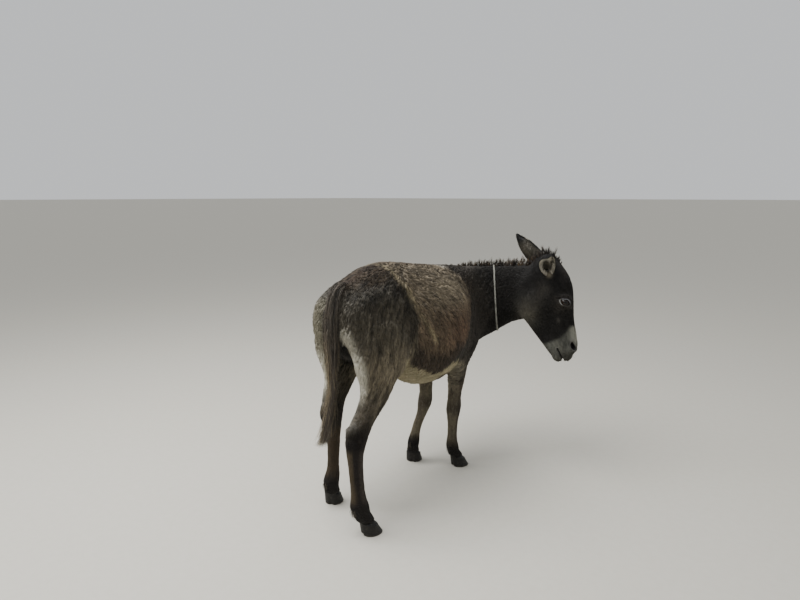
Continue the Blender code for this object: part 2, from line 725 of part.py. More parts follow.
# ---------------------------------------------------------------- the donkey
def build():
    for obj in list(bpy.data.objects):
        bpy.data.objects.remove(obj)
    shapes = [trunk_shape(), neck_shape(), head_shape("skull", FACE, 2.25), head_shape("jaw", JAW, 2.0)]
    for name, (limb, route) in LIMB_ROUTES.items():
        shapes.append(limb_shape(name, limb, route))
    shapes += mirrored_masses() + hock_points()
    body = fuse(shapes)

    coat = []
    horn = []
    rope = neck_rope(body)
    skin = grown(body, GAP * 1.5)
    mane = mane_shape()
    forelock = forelock_shape()
    tail = tail_shape()
    ears = []
    for name, sign, course, opening in EARS:
        ears.append(ear(name, sign, course, opening))
    for piece in [mane, forelock, tail] + ears:
        boolean(piece, skin, "DIFFERENCE")
    groove = rope_groove(rope)
    # The exact solver turns the mane inside out on the groove's closed tube.
    boolean(mane, groove, "DIFFERENCE", solver="MANIFOLD")
    remove(groove)
    parting = half_space("cut", at(*TAIL_PARTING), at(0, 0, -1))
    switch = part_off(tail, parting, "tail_switch")
    tail.name = "tail_dock"
    remove(skin)

    for name in LIMB_ROUTES:
        coat += part_limb(body, name)
        horn.append(hoof(name))
    head = part_off(body, half_space("cut", *HEAD_CUT), "head")
    neck = part_off(body, half_space("cut", *NECK_CUT), "neck")
    body.name = "trunk"
    eyes = [eye("eye_right", -1), eye("eye_left", 1)]
    for ball, sign in zip(eyes, (-1, 1)):
        open_eye(head, ball, sign)
    nostrils_and_mouth(head)

    coat += [body, neck, head, mane, forelock, tail, switch] + ears
    for obj in coat:
        dress(obj, COAT_COLOUR, 0.85)
    for obj in horn:
        dress(obj, HORN_COLOUR, 0.55)
    for obj in eyes:
        dress(obj, EYE_COLOUR, 0.08)
    dress(rope, ROPE_COLOUR, 0.9)
    settle(coat + horn + eyes + [rope])


build()
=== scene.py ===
"""Looks of the standing donkey: one skin, its coat of tufts, long hair, eyes, hooves and neck rope."""
import bpy
import math
import numpy as np
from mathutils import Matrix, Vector
from mathutils.bvhtree import BVHTree
from mathutils.kdtree import KDTree
from types import SimpleNamespace


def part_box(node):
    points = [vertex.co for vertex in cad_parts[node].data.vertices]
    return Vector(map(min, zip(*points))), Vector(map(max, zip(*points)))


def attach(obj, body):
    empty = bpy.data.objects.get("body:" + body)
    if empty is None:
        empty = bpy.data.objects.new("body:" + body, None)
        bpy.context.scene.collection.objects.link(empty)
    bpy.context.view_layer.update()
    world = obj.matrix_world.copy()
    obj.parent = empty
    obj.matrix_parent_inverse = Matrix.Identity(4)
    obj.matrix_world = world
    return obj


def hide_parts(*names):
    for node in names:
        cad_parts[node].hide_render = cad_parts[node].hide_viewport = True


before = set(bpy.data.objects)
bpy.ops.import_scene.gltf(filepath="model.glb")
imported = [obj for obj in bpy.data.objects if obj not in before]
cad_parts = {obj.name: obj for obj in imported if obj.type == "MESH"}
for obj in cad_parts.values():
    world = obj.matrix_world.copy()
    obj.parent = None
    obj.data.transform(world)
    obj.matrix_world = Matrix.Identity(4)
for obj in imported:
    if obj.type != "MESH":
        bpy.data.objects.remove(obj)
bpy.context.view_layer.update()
rng = np.random.default_rng(731)

# ---------------------------------------------------------------- places on the animal
SOLE_FORWARD = 0.2757     # where the right fore sole lies in the donkey's own frame
SOLE_LEFT = -0.0876
sole_low, sole_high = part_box("hoof_fore_right")
ORIGIN = np.array([(sole_low.x + sole_high.x) / 2 - SOLE_LEFT,
                   (sole_low.y + sole_high.y) / 2 + SOLE_FORWARD, 0])


def at(rows):
    """World places of rows given as forward, left, up from the donkey's own point of view."""
    rows = np.asarray(rows, float)
    return ORIGIN + np.stack([rows[..., 1], -rows[..., 0], rows[..., 2]], -1)


def way(rows):
    """World directions of rows given as forward, left, up."""
    return at(rows) - ORIGIN


def own(co):
    """Forward, left, up of world places."""
    q = co - ORIGIN
    return np.stack([-q[..., 1], q[..., 0], q[..., 2]], -1)


def unit(v):
    return v / np.maximum(np.linalg.norm(v, axis=-1, keepdims=True), 1e-9)


POLL = (0.512, -0.408, 1.066)           # top of the head behind the ears: forward, left, up
FACE_HEADING = math.radians(-65)        # the head is turned to the animal's right
FACE_LEAN = math.radians(11)            # and the nose is carried a little before the poll
AHEAD = way((math.cos(FACE_HEADING), math.sin(FACE_HEADING), 0))
UP = np.array([0, 0, 1.0])
HEAD_DOWN = AHEAD * math.sin(FACE_LEAN) - UP * math.cos(FACE_LEAN)
HEAD_FRONT = AHEAD * math.cos(FACE_LEAN) + UP * math.sin(FACE_LEAN)
HEAD_LEFT = np.cross(HEAD_FRONT, HEAD_DOWN)
HEAD_AXES = np.stack([HEAD_DOWN, HEAD_FRONT, HEAD_LEFT])


def in_head(rows):
    """World places of rows given as down, front, left from the poll."""
    return at(POLL) + np.asarray(rows, float) @ HEAD_AXES


def of_head(co):
    """Down, front, left from the poll of world places."""
    return (co - at(POLL)) @ HEAD_AXES.T


def step(x, low, high):
    """Smooth rise from 0 at low to 1 at high."""
    t = np.clip((x - low) / (high - low), 0, 1)
    return t * t * (3 - 2 * t)


def peak(x, middle, width):
    """1 in the middle, falling off over the width on both sides."""
    return np.exp(-((x - middle) / width) ** 2)


def bump(q, centre, radii):
    """Soft blob: 1 at its middle, falling off over its three radii."""
    d = ((q - np.asarray(centre)) / np.asarray(radii)) ** 2
    return np.exp(-d.sum(-1))


def along(q, points, width):
    """Soft band round a line of points: 1 on the line."""
    nearest = np.full(len(q), 1e9)
    points = np.asarray(points, float)
    for a, b in zip(points, points[1:]):
        course = b - a
        t = np.clip((q - a) @ course / (course @ course), 0, 1)
        nearest = np.minimum(nearest, ((q - a - t[:, None] * course) ** 2).sum(-1))
    return np.exp(-nearest / width ** 2)


def hashed(cell, seed):
    """A repeatable number from 0 to 1 for each whole-numbered cell."""
    h = (cell[..., 0] * 73856093 ^ cell[..., 1] * 19349663 ^ cell[..., 2] * 83492791) + seed * 40503
    h = (h ^ (h >> 13)) * 1274126177 & 0x7FFFFFFF
    return (h ^ (h >> 16)) % 65536 / 65535.0


def noise(co, size, seed=0):
    """Smooth lattice noise from -1 to 1, its cells size metres across."""
    q = co / size + 1000
    cell = np.floor(q).astype(np.int64)
    f = q - cell
    f = f * f * (3 - 2 * f)
    total = 0
    for dx in (0, 1):
        for dy in (0, 1):
            for dz in (0, 1):
                weight = (np.where(dx, f[..., 0], 1 - f[..., 0]) * np.where(dy, f[..., 1], 1 - f[..., 1])
                          * np.where(dz, f[..., 2], 1 - f[..., 2]))
                total = total + weight * hashed(cell + (dx, dy, dz), seed)
    return total * 2 - 1


def srgb(code):
    """Linear colour of an sRGB hex code."""
    parts = [int(code[i:i + 2], 16) / 255 for i in (1, 3, 5)]
    return np.array([c / 12.92 if c <= 0.04045 else ((c + 0.055) / 1.055) ** 2.4 for c in parts])


def over(colours, code, share):
    """Lay one colour over others. share is 1 where it covers them."""
    share = np.clip(share, 0, 1)[:, None]
    return colours * (1 - share) + srgb(code) * share


# ---------------------------------------------------------------- mesh tools
def select_only(*objects):
    bpy.ops.object.select_all(action="DESELECT")
    for obj in objects:
        obj.select_set(True)
    bpy.context.view_layer.objects.active = objects[0]


def add_object(name, data):
    obj = bpy.data.objects.new(name, data)
    bpy.context.scene.collection.objects.link(obj)
    return obj


def apply_modifier(obj, kind, **settings):
    modifier = obj.modifiers.new(kind.title(), kind)
    for key, value in settings.items():
        setattr(modifier, key, value)
    select_only(obj)
    bpy.ops.object.modifier_apply(modifier=modifier.name)


def edit_all(obj, *jobs):
    """Do jobs on all of an object in edit mode. Each job is an operator and its settings."""
    select_only(obj)
    bpy.ops.object.mode_set(mode="EDIT")
    bpy.ops.mesh.select_all(action="SELECT")
    for operator, settings in jobs:
        operator(**settings)
    bpy.ops.object.mode_set(mode="OBJECT")


def values(items, key, wide, kind=np.float32):
    """One row of numbers for each vertex, edge, face or corner."""
    flat = np.empty(len(items) * wide, kind)
    items.foreach_get(key, flat)
    return flat.reshape(-1, wide)


def read(mesh):
    """Vertex places and edges of a mesh."""
    return values(mesh.vertices, "co", 3).astype(float), values(mesh.edges, "vertices", 2, np.int32)


def write(mesh, co):
    mesh.vertices.foreach_set("co", co.astype(np.float32).ravel())
    mesh.update()


def normals(mesh):
    return values(mesh.vertices, "normal", 3).astype(float)


def bake_places(mesh):
    """Place of each face corner on the bake map."""
    return values(mesh.uv_layers["OFBake"].data, "uv", 2)


def relax(co, edges, share, rounds):
    """Even out vertices towards their neighbours. share is how far each one gives way."""
    n = len(co)
    a, b = edges.T
    count = np.maximum(np.bincount(a, minlength=n) + np.bincount(b, minlength=n), 1)[:, None]
    for _ in range(rounds):
        total = np.stack([np.bincount(a, co[b, k], n) + np.bincount(b, co[a, k], n) for k in range(3)], 1)
        co = co + share[:, None] * (total / count - co)
    return co


def subdivide_where(obj, chosen):
    """Split the faces whose centre passes a test into finer ones."""
    picked = chosen(values(obj.data.polygons, "center", 3).astype(float))
    select_only(obj)
    bpy.ops.object.mode_set(mode="EDIT")
    bpy.ops.mesh.select_mode(type="FACE")
    bpy.ops.mesh.select_all(action="DESELECT")
    bpy.ops.object.mode_set(mode="OBJECT")
    obj.data.polygons.foreach_set("select", picked)
    bpy.ops.object.mode_set(mode="EDIT")
    bpy.ops.mesh.subdivide(number_cuts=1)
    bpy.ops.object.mode_set(mode="OBJECT")


def curve(a, b, c, d, t):
    """Place a share t of the way from b to c, on a smooth curve through a, b, c and d."""
    return 0.5 * (2 * b + (c - a) * t + (2 * a - 5 * b + 4 * c - d) * t ** 2
                  + (3 * b - a - 3 * c + d) * t ** 3)


def spline(rows, steps):
    """Smoothly added rows between the given rows, ends included."""
    rows = np.asarray(rows, float)
    padded = np.concatenate([rows[:1], rows, rows[-1:]])
    t = np.linspace(0, 1, steps, endpoint=False)[:, None]
    out = [curve(a, b, c, d, t) for a, b, c, d in zip(padded, padded[1:], padded[2:], padded[3:])]
    return np.concatenate(out + [rows[-1:]])


def between(rows, spot):
    """Rows read at fractional row numbers."""
    i = np.minimum(spot.astype(int), len(rows) - 2)
    t = (spot - i)[..., None]
    return rows[i] * (1 - t) + rows[i + 1] * t


def build(name, points, faces, colours=None, patches=None):
    """A mesh object from arrays. colours are per point, patches are a UV place per face corner."""
    mesh = bpy.data.meshes.new(name)
    corners = faces.shape[1]
    mesh.vertices.add(len(points))
    mesh.vertices.foreach_set("co", points.astype(np.float32).ravel())
    mesh.loops.add(faces.size)
    mesh.loops.foreach_set("vertex_index", faces.astype(np.int32).ravel())
    mesh.polygons.add(len(faces))
    mesh.polygons.foreach_set("loop_start", np.arange(0, faces.size, corners, dtype=np.int32))
    mesh.update(calc_edges=True)
    if colours is not None:
        paint(mesh, colours)
    if patches is not None:
        layer = mesh.uv_layers.new(name="OFBake")
        layer.data.foreach_set("uv", patches.astype(np.float32).ravel())
    return add_object(name, mesh)


def paint(mesh, colours):
    """Keep one linear colour for each point, as the attribute that the hair and skin materials read."""
    layer = mesh.attributes.new("coat", "FLOAT_COLOR", "POINT")
    full = np.ones((len(colours), 4), np.float32)
    full[:, :3] = np.clip(colours, 0, 1)
    layer.data.foreach_set("color", full.ravel())


def strands(name, paths, widths, colours, patches=None):
    """Closed three-sided hairs. paths: hair, point, place; widths: hair, point; colours: hair, point."""
    count, steps, _ = paths.shape
    course = unit(np.gradient(paths, axis=1))
    side = unit(np.cross(course, np.broadcast_to(unit(rng.normal(size=(count, 1, 3))), course.shape)))
    rise = np.cross(side, course)
    rings = []
    for turn in range(3):
        angle = 2 * math.pi * turn / 3
        rings.append(paths + (side * math.cos(angle) + rise * math.sin(angle)) * widths[..., None] / 2)
    points = np.stack(rings, 2)[:, :-1].reshape(count, -1, 3)
    points = np.concatenate([points, paths[:, -1:]], 1)
    per = points.shape[1]
    tip = per - 1
    faces = [(0, 1, 2)]
    for i in range(steps - 2):
        for a in range(3):
            b = (a + 1) % 3
            low, high = 3 * i, 3 * i + 3
            faces += [(low + a, high + a, low + b), (low + b, high + a, high + b)]
    last = 3 * (steps - 2)
    faces += [(last + a, tip, last + (a + 1) % 3) for a in range(3)]
    faces = np.array(faces)
    shade = np.concatenate([np.repeat(colours[:, :-1], 3, axis=1), colours[:, -1:]], 1)
    every = (faces[None] + np.arange(count)[:, None, None] * per).reshape(-1, 3)
    uv = None
    if patches is not None:
        reach = np.concatenate([np.repeat(np.linspace(0, 1, steps)[:-1], 3), [1]])[faces.ravel()]
        across = (faces.ravel() % 3 - 1) * 0.5
        shift = np.stack([across, reach - 0.5], -1) * PATCH
        uv = (patches[:, None] + shift[None]).reshape(-1, 2)
    obj = build(name, points.reshape(-1, 3), every, shade.reshape(-1, 3), uv)
    obj.data.shade_smooth()
    return obj


# ---------------------------------------------------------------- the skin's shape
PATCH = 0.003            # width of a hair's patch on the bake map
SWOLLEN = 0.0010         # the solids swell by this much to join up, and the skin shrinks by it again
SKIN_VOXEL = 0.0075
SKIN_TRIANGLES = 168000
ON_HEAD = 0.4            # share of the head from which a place gets the face's finer mesh
FLESH = ["trunk", "neck", "head", "tail_dock"]
for end in ("fore", "hind"):
    for hand in ("left", "right"):
        FLESH += [f"{end}_{hand}_upper", f"{end}_{hand}_lower"]
EYE = np.array([0.207, 0.064, 0.0638])      # middle of the left eyeball in the head
EYE_RADIUS = 0.0222
EYE_SLANT = math.radians(52)     # the corners' line against the line of the head
LID_HALF = 0.0225        # from the middle of the opening to its corners
LID_UP = 0.0165
LID_DOWN = 0.0125
LID_ROUND = 1.60         # 2 would be an ellipse; less draws the corners out
LID_SKEW = 0.24          # the upper lid is highest towards the nose, the lower one lowest away from it
LID_SKIN = 0.0022        # thickness of the lids' edge over the eyeball
LID_MARGIN = 0.86        # the lids' edge reaches in to this share of the opening
LID_POCKET = 0.70        # and within this share the skin falls back behind the eyeball's front
LID_FLOOR = 0.0105       # the corners of the lids lie at least this far out of the eye's middle
NOSTRIL = (0.437, 0.073, 0.040)
NOSTRIL_INWARD = unit(np.array([-0.28, -0.55, -0.78]))
NOSTRIL_LONG = np.array([0.92, 0.38, 0.0])
NOSTRIL_LONG = unit(NOSTRIL_LONG - NOSTRIL_INWARD * (NOSTRIL_LONG @ NOSTRIL_INWARD))
NOSTRIL_HALF_LONG = 0.0220
NOSTRIL_HALF_WIDE = 0.0115
NOSTRIL_BEND = 12.0      # how much the slit bows, for each metre squared from its middle
NOSTRIL_DEEP = 0.035     # dark skin reaches this far in and out of a nostril
NOSTRIL_ACROSS = np.cross(NOSTRIL_INWARD, NOSTRIL_LONG)
# Cannon lines of the four legs: forward, left, up.
CANNONS = {
    "hind_right": ((-0.545, -0.138, 0.38), (-0.545, -0.146, 0.18), (-0.538, -0.150, 0.12)),
    "hind_left": ((-0.434, 0.112, 0.38), (-0.433, 0.116, 0.18), (-0.442, 0.120, 0.12)),
    "fore_right": ((0.212, -0.084, 0.29), (0.214, -0.079, 0.17), (0.218, -0.076, 0.12)),
    "fore_left": ((0.190, 0.092, 0.29), (0.160, 0.104, 0.20), (0.140, 0.112, 0.12)),
}
# Dabs on the head: down, front, side, radii, millimetres out.
HEAD_DABS = (
    (0.163, 0.066, 0.064, 0.017, 0.014, 0.022, -4.0),   # hollow above the eye
    (0.285, 0.058, 0.056, 0.034, 0.013, 0.022, -3.0),   # hollow in front of the cheek crest
    (0.190, -0.085, 0.062, 0.050, 0.044, 0.030, 3.0),   # cheek muscle
    (0.075, -0.045, 0.070, 0.022, 0.022, 0.022, 3.0),   # gland behind the jaw
    (0.150, 0.100, 0.030, 0.040, 0.020, 0.020, 2.0),    # forehead
    (0.255, 0.090, 0.000, 0.050, 0.014, 0.012, -1.5),   # dip between the nose edges
    (0.496, -0.010, 0.000, 0.016, 0.018, 0.022, 3.5),   # chin
    (0.496, 0.026, 0.000, 0.016, 0.016, 0.022, 3.5),    # tip of the upper lip
    (0.462, 0.078, 0.000, 0.020, 0.012, 0.008, -1.5),   # dip between the nostrils
)
# Ridges and grooves on the head: line (down, front, side), width, millimetres out.
HEAD_LINES = (
    # crest of the cheek, edge of the nose bone
    (((0.235, 0.026, 0.075), (0.285, 0.020, 0.062), (0.335, 0.018, 0.050)), 0.008, 3.0),
    (((0.215, 0.098, 0.032), (0.300, 0.092, 0.026), (0.385, 0.090, 0.022)), 0.008, 1.8),
    # grooves before the cheek muscle and behind the jaw, and under the inner corner of the eye
    (((0.245, -0.010, 0.064), (0.262, -0.055, 0.055), (0.275, -0.105, 0.044)), 0.009, -3.0),
    (((0.050, -0.095, 0.055), (0.110, -0.130, 0.050), (0.170, -0.160, 0.030)), 0.012, -3.0),
    (((0.235, 0.045, 0.080), (0.262, 0.048, 0.070), (0.290, 0.044, 0.060)), 0.005, -1.5),
    # folds of the muzzle: behind the nostril, above the lip, at the corner of the mouth
    (((0.365, 0.062, 0.044), (0.400, 0.060, 0.048), (0.425, 0.058, 0.050)), 0.006, -2.5),
    (((0.380, 0.030, 0.046), (0.415, 0.022, 0.046), (0.445, 0.022, 0.042)), 0.006, -1.2),
    (((0.414, -0.026, 0.042), (0.432, -0.018, 0.040)), 0.0035, -1.5),
    (((0.398, 0.000, 0.046), (0.420, 0.004, 0.046)), 0.0035, -1.5),
)
# Line between the lips: down, front.
MOUTH_LINE = ((0.438, -0.006, 0), (0.450, -0.002, 0), (0.465, 0.003, 0),
              (0.488, 0.009, 0), (0.518, 0.012, 0))
# The left leg bears the weight, and its buttock stands out: forward, side, up, radii, millimetres out.
BUTTOCK_DAB = (-0.480, 0.165, 0.800, 0.070, 0.060, 0.120, 13.0)
# Dabs on the body, on both sides: forward, side, up, radii, millimetres out.
BODY_DABS = (
    (-0.165, 0.150, 0.985, 0.045, 0.060, 0.045, -7.0),  # hollow in front of the hip
    (-0.228, 0.150, 0.992, 0.026, 0.040, 0.024, 4.0),   # point of the hip
    (-0.190, 0.160, 0.700, 0.050, 0.060, 0.080, -5.0),  # fold of the flank
    (-0.270, 0.165, 0.650, 0.045, 0.050, 0.050, 4.0),   # stifle
    (0.225, 0.150, 0.800, 0.030, 0.060, 0.110, -4.0),   # behind the shoulder
    (0.310, 0.135, 0.960, 0.030, 0.040, 0.060, 3.0),    # top of the shoulder blade
    (0.370, 0.110, 0.800, 0.040, 0.040, 0.040, -3.0),   # before the shoulder joint
    (0.200, 0.130, 0.610, 0.030, 0.040, 0.026, 4.0),    # elbow
    (0.470, 0.000, 0.700, 0.030, 0.014, 0.090, -4.0),   # furrow down the breast
    (-0.440, 0.175, 0.690, 0.030, 0.060, 0.120, -3.0),  # seam of the hamstrings
    (-0.360, 0.000, 1.080, 0.080, 0.016, 0.040, -2.5),  # furrow along the croup
)
SPINE_LINE = ((0.30, 0, 1.045), (0.10, 0, 1.060), (-0.10, 0, 1.085), (-0.25, 0, 1.095), (-0.42, 0, 1.045))


def limb_share(q):
    """1 on the legs, 0 on the body."""
    hind = step(q[:, 0], -0.16, -0.22)
    fore = step(q[:, 0], 0.02, 0.06)
    return np.maximum(hind * step(q[:, 2], 0.66, 0.54), fore * step(q[:, 2], 0.58, 0.50))


def head_share(co):
    """1 on the head, 0 on the neck and body."""
    h = of_head(co)
    ahead = h[:, 1] + h[:, 0] * 0.45
    return step(ahead, -0.10, -0.03) * step(np.linalg.norm(co - in_head((0.23, 0, 0)), axis=1), 0.36, 0.32)


def coat_depth(co):
    """How far the skin lies under the tips of the coat."""
    q = own(co)
    head = head_share(co)
    limb = limb_share(q)
    depth = 0.0075 - 0.0035 * limb - 0.0020 * limb * step(q[:, 2], 0.42, 0.34)
    depth -= 0.002 * step(q[:, 0], 0.28, 0.40)
    muzzle = step(of_head(co)[:, 0], 0.30, 0.42)
    return depth * (1 - head) + (0.0032 - 0.0016 * muzzle) * head


def fine_face(co):
    """Round the eyes, and the muzzle."""
    h = of_head(co)
    eyes = np.linalg.norm(np.abs(h) - EYE, axis=1) < 0.038
    return eyes | ((h[:, 0] > 0.400) & (head_share(co) > ON_HEAD))


def finest_face(co):
    """Lids, nostrils and the line between the lips."""
    h = of_head(co)
    h[:, 2] = np.abs(h[:, 2])
    eyes = np.linalg.norm(h - EYE - (0, 0, 0.012), axis=1) < 0.029
    mouth = along(h * (1, 1, 0), MOUTH_LINE, 0.009) > 0.35
    nostril = np.linalg.norm(h - NOSTRIL, axis=1) < 0.027
    return eyes | ((mouth | nostril) & (head_share(co) > ON_HEAD))


def mouth_gap(h):
    """Millimetres from the line between the lips, and how wide the lips part there."""
    beside = np.sqrt(-np.log(np.maximum(along(h * (1, 1, 0), MOUTH_LINE, 0.003), 1e-30))) * 3
    return beside, 3.2 + 1.8 * step(h[:, 0], 0.445, 0.495)


def muzzle_folds(h):
    """Fine folds that run down the muzzle, from -1 to 1."""
    return noise(h * (0.22, 1, 1), 0.0065, 15)


def sculpt(co, out):
    """Muscle, bone, folds and creases, pushed along the normals."""
    q = own(co)
    q[:, 1] = np.abs(q[:, 1])
    h = of_head(co)
    h[:, 2] = np.abs(h[:, 2])
    head = head_share(co)
    lift = np.zeros(len(co))
    for *place, long, deep, wide, amount in HEAD_DABS:
        lift += amount * head * bump(h, place, (long, deep, wide))
    for line, width, amount in HEAD_LINES:
        lift += amount * head * along(h, line, width)
    beside, gap = mouth_gap(h)
    lift += head * (2.0 * peak(beside, 5.0 + gap, 3.0) - 8.0 * peak(beside, 0, gap))
    for *place, long, wide, high, amount in BODY_DABS:
        lift += amount * (1 - head) * bump(q, place, (long, wide, high))
    lift += 2.0 * (1 - head) * along(own(co), SPINE_LINE, 0.016)
    place = own(co)
    lift += BUTTOCK_DAB[6] * bump(place, BUTTOCK_DAB[:3], BUTTOCK_DAB[3:6])
    for name, line in CANNONS.items():
        line = np.array(line)
        back = 0.018 if name.startswith("hind") else 0.014
        for across in (-0.026, 0.026):      # groove between the bone and the tendons, on both sides
            lift -= 2.6 * along(place, line + (-back, across, 0), 0.010)
        fetlock, pastern = line[-1] + (-0.030, 0, -0.004), line[-1] + (0.034, 0, -0.036)
        lift += 3.0 * bump(place, fetlock, (0.014, 0.030, 0.016))
        lift -= 2.0 * bump(place, pastern, (0.012, 0.04, 0.012))
    lift += 0.7 * noise(co, 0.055, 5) * (1 - head)
    lift -= 0.8 * head * step(h[:, 0], 0.36, 0.41) * np.clip(muzzle_folds(h), 0, 1)
    return co + out * (lift * 0.001)[:, None]


def eye_frame(h, sign):
    """Places round an eye: towards the nose-side corner, towards the brow, outward."""
    rel = h - EYE * (1, 1, sign)
    c, s = math.cos(EYE_SLANT), math.sin(EYE_SLANT)
    return np.stack([rel[:, 0] * c + rel[:, 1] * s, rel[:, 1] * c - rel[:, 0] * s, rel[:, 2] * sign], -1)


def from_eye_frame(e, sign):
    """World places of places round an eye."""
    c, s = math.cos(EYE_SLANT), math.sin(EYE_SLANT)
    down = e[:, 0] * c - e[:, 1] * s
    front = e[:, 0] * s + e[:, 1] * c
    return in_head(np.stack([down, front, e[:, 2] * sign], -1) + EYE * (1, 1, sign))


def lid_reach(e):
    """1 on the edge of the lids, less inside the opening."""
    heading = e[:, 0] / np.maximum(np.hypot(e[:, 0], e[:, 1]), 1e-6)
    high = np.where(e[:, 1] > 0, LID_UP * (1 + LID_SKEW * heading), LID_DOWN * (1 - LID_SKEW * heading))
    reach = np.abs(e[:, 0] / LID_HALF) ** LID_ROUND + np.abs(e[:, 1] / high) ** LID_ROUND
    return reach ** (1 / LID_ROUND)


def on_ball(e, extra):
    """How far out the eyeball's surface lies, or a surface a little over it."""
    return np.sqrt(np.maximum((EYE_RADIUS + extra) ** 2 - e[:, 0] ** 2 - e[:, 1] ** 2, 0.0))


def make_lids(co):
    """Lids wrapped over the eyeball, with their edge, the crease above them and the brow."""
    h = of_head(co)
    for sign in (1, -1):
        e = eye_frame(h, sign)
        near = (np.linalg.norm(e, axis=1) < 0.075) & (e[:, 2] > -0.004) & (h[:, 2] * sign > 0)
        e = e[near]
        reach = np.maximum(lid_reach(e), 1e-3)
        edge = e.copy()
        edge[:, :2] = e[:, :2] / reach[:, None]
        rim = np.maximum(on_ball(edge, LID_SKIN), LID_FLOOR)
        out = rim + (e[:, 2] - rim) * step(reach, 1.0, 2.5)
        upper = step(e[:, 1], -0.004, 0.006)
        out = np.maximum(out, on_ball(e, LID_SKIN + 0.0006))
        out += 0.0008 * peak(reach, 1.16, 0.10)
        out -= 0.0024 * peak(reach, 1.62, 0.15) * upper
        out += 0.0030 * peak(reach, 2.15, 0.30) * upper
        out -= 0.0012 * peak(reach, 1.75, 0.16) * (1 - upper)
        new = e.copy()
        new[:, 2] = out
        lip = (reach <= 1.0) & (reach > LID_MARGIN)
        new[lip] = edge[lip]
        new[lip, 2] = rim[lip] + 0.0003
        margin = (reach <= LID_MARGIN) & (reach > LID_POCKET)
        new[margin, :2] = edge[margin, :2] * 0.955
        new[margin, 2] = on_ball(new[margin], -0.0002)
        pocket = reach <= LID_POCKET
        new[pocket, 2] = on_ball(e[pocket], -0.001) * 0.55
        co[near] = from_eye_frame(new, sign)
    return co


def nostril_reach(h, sign):
    """1 on a nostril's edge and less inside, and the depth into the head."""
    rel = (h - np.array(NOSTRIL) * (1, 1, sign)) * (1, 1, sign)
    run = rel @ NOSTRIL_LONG
    bow = rel @ NOSTRIL_ACROSS + NOSTRIL_BEND * run ** 2
    return np.sqrt((run / NOSTRIL_HALF_LONG) ** 2 + (bow / NOSTRIL_HALF_WIDE) ** 2), rel @ NOSTRIL_INWARD


def open_nostrils(co):
    """Sink each nostril's slit into the head and raise a rim round it."""
    h = of_head(co)
    for sign in (1, -1):
        reach, depth = nostril_reach(h, sign)
        here = step(np.abs(depth), 0.030, 0.016) * (h[:, 2] * sign > 0)
        push = 0.022 * (1 - step(reach, 0.50, 1.05)) - 0.0032 * peak(reach, 1.32, 0.26)
        co = co + (push * here)[:, None] * ((NOSTRIL_INWARD * (1, 1, sign)) @ HEAD_AXES)
    return co


def make_skin():
    """One closed skin over the solids of the body, sunk under the coat, sculpted and thinned out."""
    copies = [add_object("part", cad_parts[name].data.copy())
              for name in FLESH + ["eye_left", "eye_right"]]
    select_only(*copies)
    bpy.ops.object.join()
    skin = copies[0]
    skin.name = "skin"
    edit_all(skin, (bpy.ops.mesh.remove_doubles, {"threshold": 0.0001}))
    apply_modifier(skin, "DISPLACE", strength=SWOLLEN, mid_level=0)
    apply_modifier(skin, "REMESH", mode="VOXEL", voxel_size=SKIN_VOXEL)
    co, edges = read(skin.data)
    head = head_share(co)
    soft = np.clip(0.5 * (1 - limb_share(own(co))) * (1 - head), 0, 0.5)
    co = relax(co, edges, np.full(len(co), 0.5), 4)
    co = relax(co, edges, soft, 36)
    write(skin.data, co)
    for chosen, rounds in ((lambda c: head_share(c) > ON_HEAD, 6), (fine_face, 4), (finest_face, 3)):
        subdivide_where(skin, chosen)
        co, edges = read(skin.data)
        co = relax(co, edges, head_share(co) * 0.5, rounds)
        write(skin.data, co)
    co = co - normals(skin.data) * (SWOLLEN + coat_depth(co))[:, None]
    write(skin.data, co)
    co = sculpt(co, normals(skin.data))
    co = open_nostrils(make_lids(co))
    write(skin.data, co)
    group = skin.vertex_groups.new(name="plain")
    plain = np.round(np.clip(1 - head_share(co), 0.25, 1), 2)
    for value in np.unique(plain):
        group.add(np.flatnonzero(plain == value).tolist(), float(value), "REPLACE")
    triangles = sum(len(face.vertices) - 2 for face in skin.data.polygons)
    apply_modifier(skin, "DECIMATE", ratio=SKIN_TRIANGLES / triangles, vertex_group="plain")
    skin.vertex_groups.clear()
    return skin


# ---------------------------------------------------------------- ears
EAR_ROOT = (0.060, 0.010, 0.052)
EAR_LENGTH = 0.250
# Share of the length, half width, thickness and how far the sheet wraps round.
EAR_SECTIONS = (
    (-0.06, .022, .010, 2.60), (0.08, .030, .008, 2.30), (0.25, .038, .007, 1.90), (0.45, .040, .006, 1.60),
    (0.65, .036, .006, 1.40), (0.82, .026, .005, 1.25), (0.94, .014, .005, 1.20), (1.00, .006, .004, 1.20))
EAR_ACROSS = 29
EAR_HOLLOW = 0.018       # how far the back of the ear bows away from its opening
EAR_COAT = 0.0012        # depth of the hair on both faces of the ear
NO_EAR = (-9.0, 0.0, 0.0)        # place on an ear, for points that lie on none
# Side, the way the ear points and the way its opening faces, in the head.
EARS = {
    "right": (-1, (-0.36, 0.06, -0.90), (1.0, 0.15, 0.0)),
    "left": (1, (-0.88, -0.58, 0.32), (0.3, 0.3, 0.9)),
}


def ear_axes(name):
    """Side of the head, and the ways the ear points and its opening faces, in the world."""
    sign, course, opening = EARS[name]
    course = unit(np.array(course) @ HEAD_AXES)
    opening = np.array(opening) @ HEAD_AXES
    return sign, course, unit(opening - course * (opening @ course))


